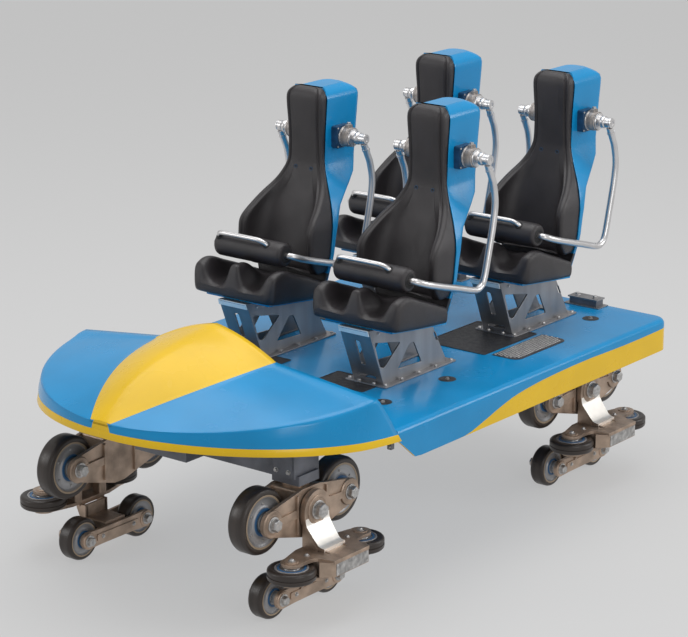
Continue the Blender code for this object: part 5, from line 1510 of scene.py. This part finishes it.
def nose_row(angle, trim):
    """Half of one cross section: trim, band, shoulder and stripe."""
    turn = math.radians(angle)
    outline_x = NOSE_HALF * math.cos(turn)
    y = max(NOSE_TIP, NOSE_CENTRE - NOSE_DEPTH * math.sin(turn))
    ahead = DECK_FRONT - y
    share = min(1.0, ahead / (DECK_FRONT - NOSE_TIP))
    settle = min(1.0, angle / SETTLE_ANGLE)
    rear = 1 - settle * settle * (3 - 2 * settle)
    foot_y = y + (NOSE_FOOT_REAR - NOSE_CENTRE) * rear
    top_y = y + (NOSE_TOP_REAR - NOSE_CENTRE) * rear
    foot_z = FOOT_Z + FOOT_SLOPE * ahead
    edge_z = EDGE_Z - EDGE_FALL * share
    edge_x = max(outline_x - 0.030, outline_x * 0.80)
    stripe = min(STRIPE_X - STRIPE_TAPER * share ** STRIPE_POWER, edge_x * 0.80)
    shoulder = SHOULDER_Z - SHOULDER_FALL * share ** SHOULDER_POWER
    crest = CREST_Z - CREST_FALL * share ** CREST_POWER
    points = [(outline_x, foot_y, foot_z + 2 * HAIR)]
    band = [(trim * step / (edge_z - foot_z), 0) for step in TRIM_STEPS]
    band += [(lean, BAND_BULGE * math.sin(math.pi * lean)) for lean in BAND_STEPS]
    for lean, bulge in band:
        points.append((outline_x + (edge_x - outline_x) * lean + bulge,
                       foot_y + (top_y - foot_y) * lean, foot_z + (edge_z - foot_z) * lean))
    lean_back = NOSE_REAR_LEAN * rear
    for k in SHOULDER_STEPS:
        x = edge_x + (stripe - edge_x) * k
        height = edge_z - 0.005 + EDGE_ROUND * min(1.0, k / EDGE_ROUND_SHARE) ** 0.5
        height += (shoulder - edge_z - 0.002) * k
        points.append((x, top_y - lean_back * min(1.0, (1 - x / edge_x) / 0.6), height))
    for k in CREST_STEPS:
        lift = 0.45 * k + 0.55 * (1 - (1 - k) ** 2)
        points.append((stripe * (1 - k), top_y - lean_back,
                       shoulder + (crest - shoulder) * lift))
    return points


def nose_mesh(trim):
    """Open shell with a crowned top, side band, centre stripe and lower trim."""
    work = bmesh.new()
    slots = [1, 1] + [0] * (4 + len(SHOULDER_STEPS)) + [1] * len(CREST_STEPS)
    grid = []
    for angle in NOSE_ROWS:
        row = nose_row(angle, trim)
        line = [work.verts.new(point) for point in row]
        other = [work.verts.new((-x, y, z)) for x, y, z in row[:-1]]
        grid.append((line, other + [line[-1]]))
    last = len(grid[0][0]) - 1
    for (left, right), (next_left, next_right) in zip(grid, grid[1:]):
        for i in range(last):
            for here, there in ((left, next_left), (right, next_right)):
                new_face(work, (here[i], here[i + 1], there[i + 1], there[i]), slots[i])
    left, right = grid[-1]
    for i in range(last):
        ring = (left[i], left[i + 1], right[i + 1], right[i])
        new_face(work, list(dict.fromkeys(ring)), 1)
    bmesh.ops.recalc_face_normals(work, faces=work.faces)
    return to_mesh(work, "nose", DECK_FINISHES, 40)


def rear_wall_mesh(trim):
    """Wall that closes the nose behind, a little inside its outline."""
    work = bmesh.new()
    ring = [(x - math.copysign(0.004, x) if abs(x) > 0.05 else x, y + 0.0012, z - 0.003)
            for x, y, z in nose_row(0, trim)]
    ring += flipped(ring[:-1])
    skin_rings(work, [ring, [(x, y - 0.008, z) for x, y, z in ring]])
    return work


def trim_mesh(trim):
    """Yellow strip that stands a little proud round the nose's foot."""
    work = bmesh.new()
    edge = [nose_row(angle, trim)[:3:2] for angle in NOSE_ROWS]
    rings = []
    for sign, rows in ((1, edge), (-1, reversed(edge))):
        for foot, top in rows:
            out = Vector((foot[0], (foot[1] - NOSE_CENTRE) * 0.9, 0)).normalized()
            out.x *= sign
            foot, top = (Vector((sign * x, y, z)) for x, y, z in (foot, top))
            push, pull = out * 0.0014, out * -0.0020
            rings.append([foot + pull, foot + push * 0.4, foot.lerp(top, 0.06) + push,
                          foot.lerp(top, 0.94) + push, top + push * 0.4, top + pull])
    skin_rings(work, rings)
    return work


class COASTER_OT_nose(bpy.types.Operator):
    """Nose shell with its stripe and trim, and the wall behind it"""
    bl_idname = "coaster.nose"
    bl_label = "Nose"

    def execute(self, context):
        trim = context.scene.coaster_sizes.trim_height
        nose = put("look_nose", nose_mesh(trim), "car", ["nose"])
        skin = nose.modifiers.new("Skin", "SOLIDIFY")
        skin.thickness = NOSE_SKIN
        skin.offset = -1.0
        skin.use_even_offset = False
        put_on_car("nose_rear_wall", rear_wall_mesh(trim), ("blue_paint",), 40)
        put_on_car("nose_trim", trim_mesh(trim), ("yellow_paint",), 50)
        return {"FINISHED"}


# Chassis

PIN_NUT = mm((0, 0), (50, 0), (50, 6), (44, 10), (0, 10))
PIN_NUT_Z, PIN_NUT_TURN = 0.650, 0.2
# Plates on the axle beams and round the king pins' collars: inner and outer face, half
# width, foot and top
BEAM_PLATE = mm((89.5, 96), (55,), (662, 806))
COLLAR_PLATE = mm((68, 74), (80,), (616, 664))
COLLAR_SIDE_PLATE = mm((74, 80), (70,), (616, 664))
BEAM_BOLT, COUPLER_BOLT, BRACKET_BOLT, DECK_BOLT = 0.0085, 0.0075, 0.0065, 0.009
BRACKET_X, BRACKET_FRONT = 0.895, -0.716    # small brackets under the nose's rear corners
CHASSIS_EDGE, CHASSIS_ANGLE = 0.004, math.radians(40)


def add_king_pin_fittings(work, x, y):
    """Nut under the king pin, plates before and behind it, and the collar's four sides."""
    add_lathe(work, PIN_NUT, (x, y, PIN_NUT_Z), DOWN, 6, 0, PIN_NUT_TURN)
    for face in (-1, 1):
        for (inner, outer), (half,), (low, high) in (BEAM_PLATE, COLLAR_PLATE):
            add_box(work, (x - half, y + face * inner, low),
                    (x + half, y + face * outer, high))
        (inner, outer), (half,), (low, high) = COLLAR_SIDE_PLATE
        add_box(work, (x + face * inner, y - half, low), (x + face * outer, y + half, high))
        for k in (-0.036, 0.036):
            for z in (0.682, 0.786):
                add_bolt(work, (x + k, y + face * BEAM_PLATE[0][1], z), (0, face, 0),
                         BEAM_BOLT, 1)


class COASTER_OT_chassis(bpy.types.Operator):
    """Finish of the chassis frame, with its bolts, plates and small brackets"""
    bl_idname = "coaster.chassis"
    bl_label = "Chassis"

    def execute(self, context):
        node = frame["nodes"]["chassis_frame"]
        for place in node.material_slots:
            place.material = bpy.data.materials["frame_paint"]
        edge = node.modifiers.new("Edges", "BEVEL")
        edge.width = CHASSIS_EDGE
        edge.segments = 2
        edge.limit_method = "ANGLE"
        edge.angle_limit = CHASSIS_ANGLE
        work = bmesh.new()
        for child in ("carrier_front_left", "carrier_rear_left"):
            for sign in (-1, 1):
                add_king_pin_fittings(work, sign * JOINTS[child].x, JOINTS[child].y)
        for x in (-0.075, 0.075):
            for z in (0.700, 0.770):
                add_bolt(work, (x, DECK_REAR - 0.0105, z), REARWARD, COUPLER_BOLT, 1, 1.35,
                         True)
        for x in (-BRACKET_X, BRACKET_X):
            add_box(work, (x - 0.012, BRACKET_FRONT, 0.7340), (x + 0.012, -0.6925, 0.7775))
            add_bolt(work, (x, BRACKET_FRONT, 0.7480), FORWARD, BRACKET_BOLT, 1)
        for y in (-0.40, 0.12, 0.72):
            for x in (-0.80, -0.62, 0.62, 0.80):
                add_bolt(work, (x, y, 0.7477), DOWN, DECK_BOLT, 1)
        put_on_car("chassis_fittings", work, ("frame_paint", "zinc_bolt"),
                   bevel=0.0015)
        return {"FINISHED"}


class COASTER_PT_panel(bpy.types.Panel):
    """Sizes, colours and the operators that build the car"""
    bl_label = "Coaster Car"
    bl_idname = "COASTER_PT_panel"
    bl_space_type = "VIEW_3D"
    bl_region_type = "UI"
    bl_category = "Coaster Car"

    def draw(self, context):
        layout = self.layout
        for settings in (context.scene.coaster_sizes, context.scene.coaster_colours):
            column = layout.column(align=True)
            for name in settings.bl_rna.properties.keys():
                if name not in ("rna_type", "name"):
                    column.prop(settings, name)
        for operator in OPERATORS:
            layout.operator(operator.bl_idname)


OPERATORS = (COASTER_OT_stage, COASTER_OT_finishes, COASTER_OT_wheels, COASTER_OT_carriers,
             COASTER_OT_seats, COASTER_OT_deck, COASTER_OT_nose, COASTER_OT_chassis)
CLASSES = (CoasterCarColours, CoasterCarSizes) + OPERATORS + (COASTER_PT_panel,)


def register():
    for item in CLASSES:
        bpy.utils.register_class(item)
    bpy.types.Scene.coaster_colours = bpy.props.PointerProperty(type=CoasterCarColours)
    bpy.types.Scene.coaster_sizes = bpy.props.PointerProperty(type=CoasterCarSizes)


def unregister():
    del bpy.types.Scene.coaster_sizes
    del bpy.types.Scene.coaster_colours
    for item in reversed(CLASSES):
        bpy.utils.unregister_class(item)


def main():
    register()
    bpy.ops.coaster.stage()
    bpy.ops.coaster.finishes()
    bpy.ops.coaster.wheels()
    bpy.ops.coaster.carriers()
    bpy.ops.coaster.seats()
    bpy.ops.coaster.deck()
    bpy.ops.coaster.nose()
    bpy.ops.coaster.chassis()


if __name__ == "__main__":
    main()
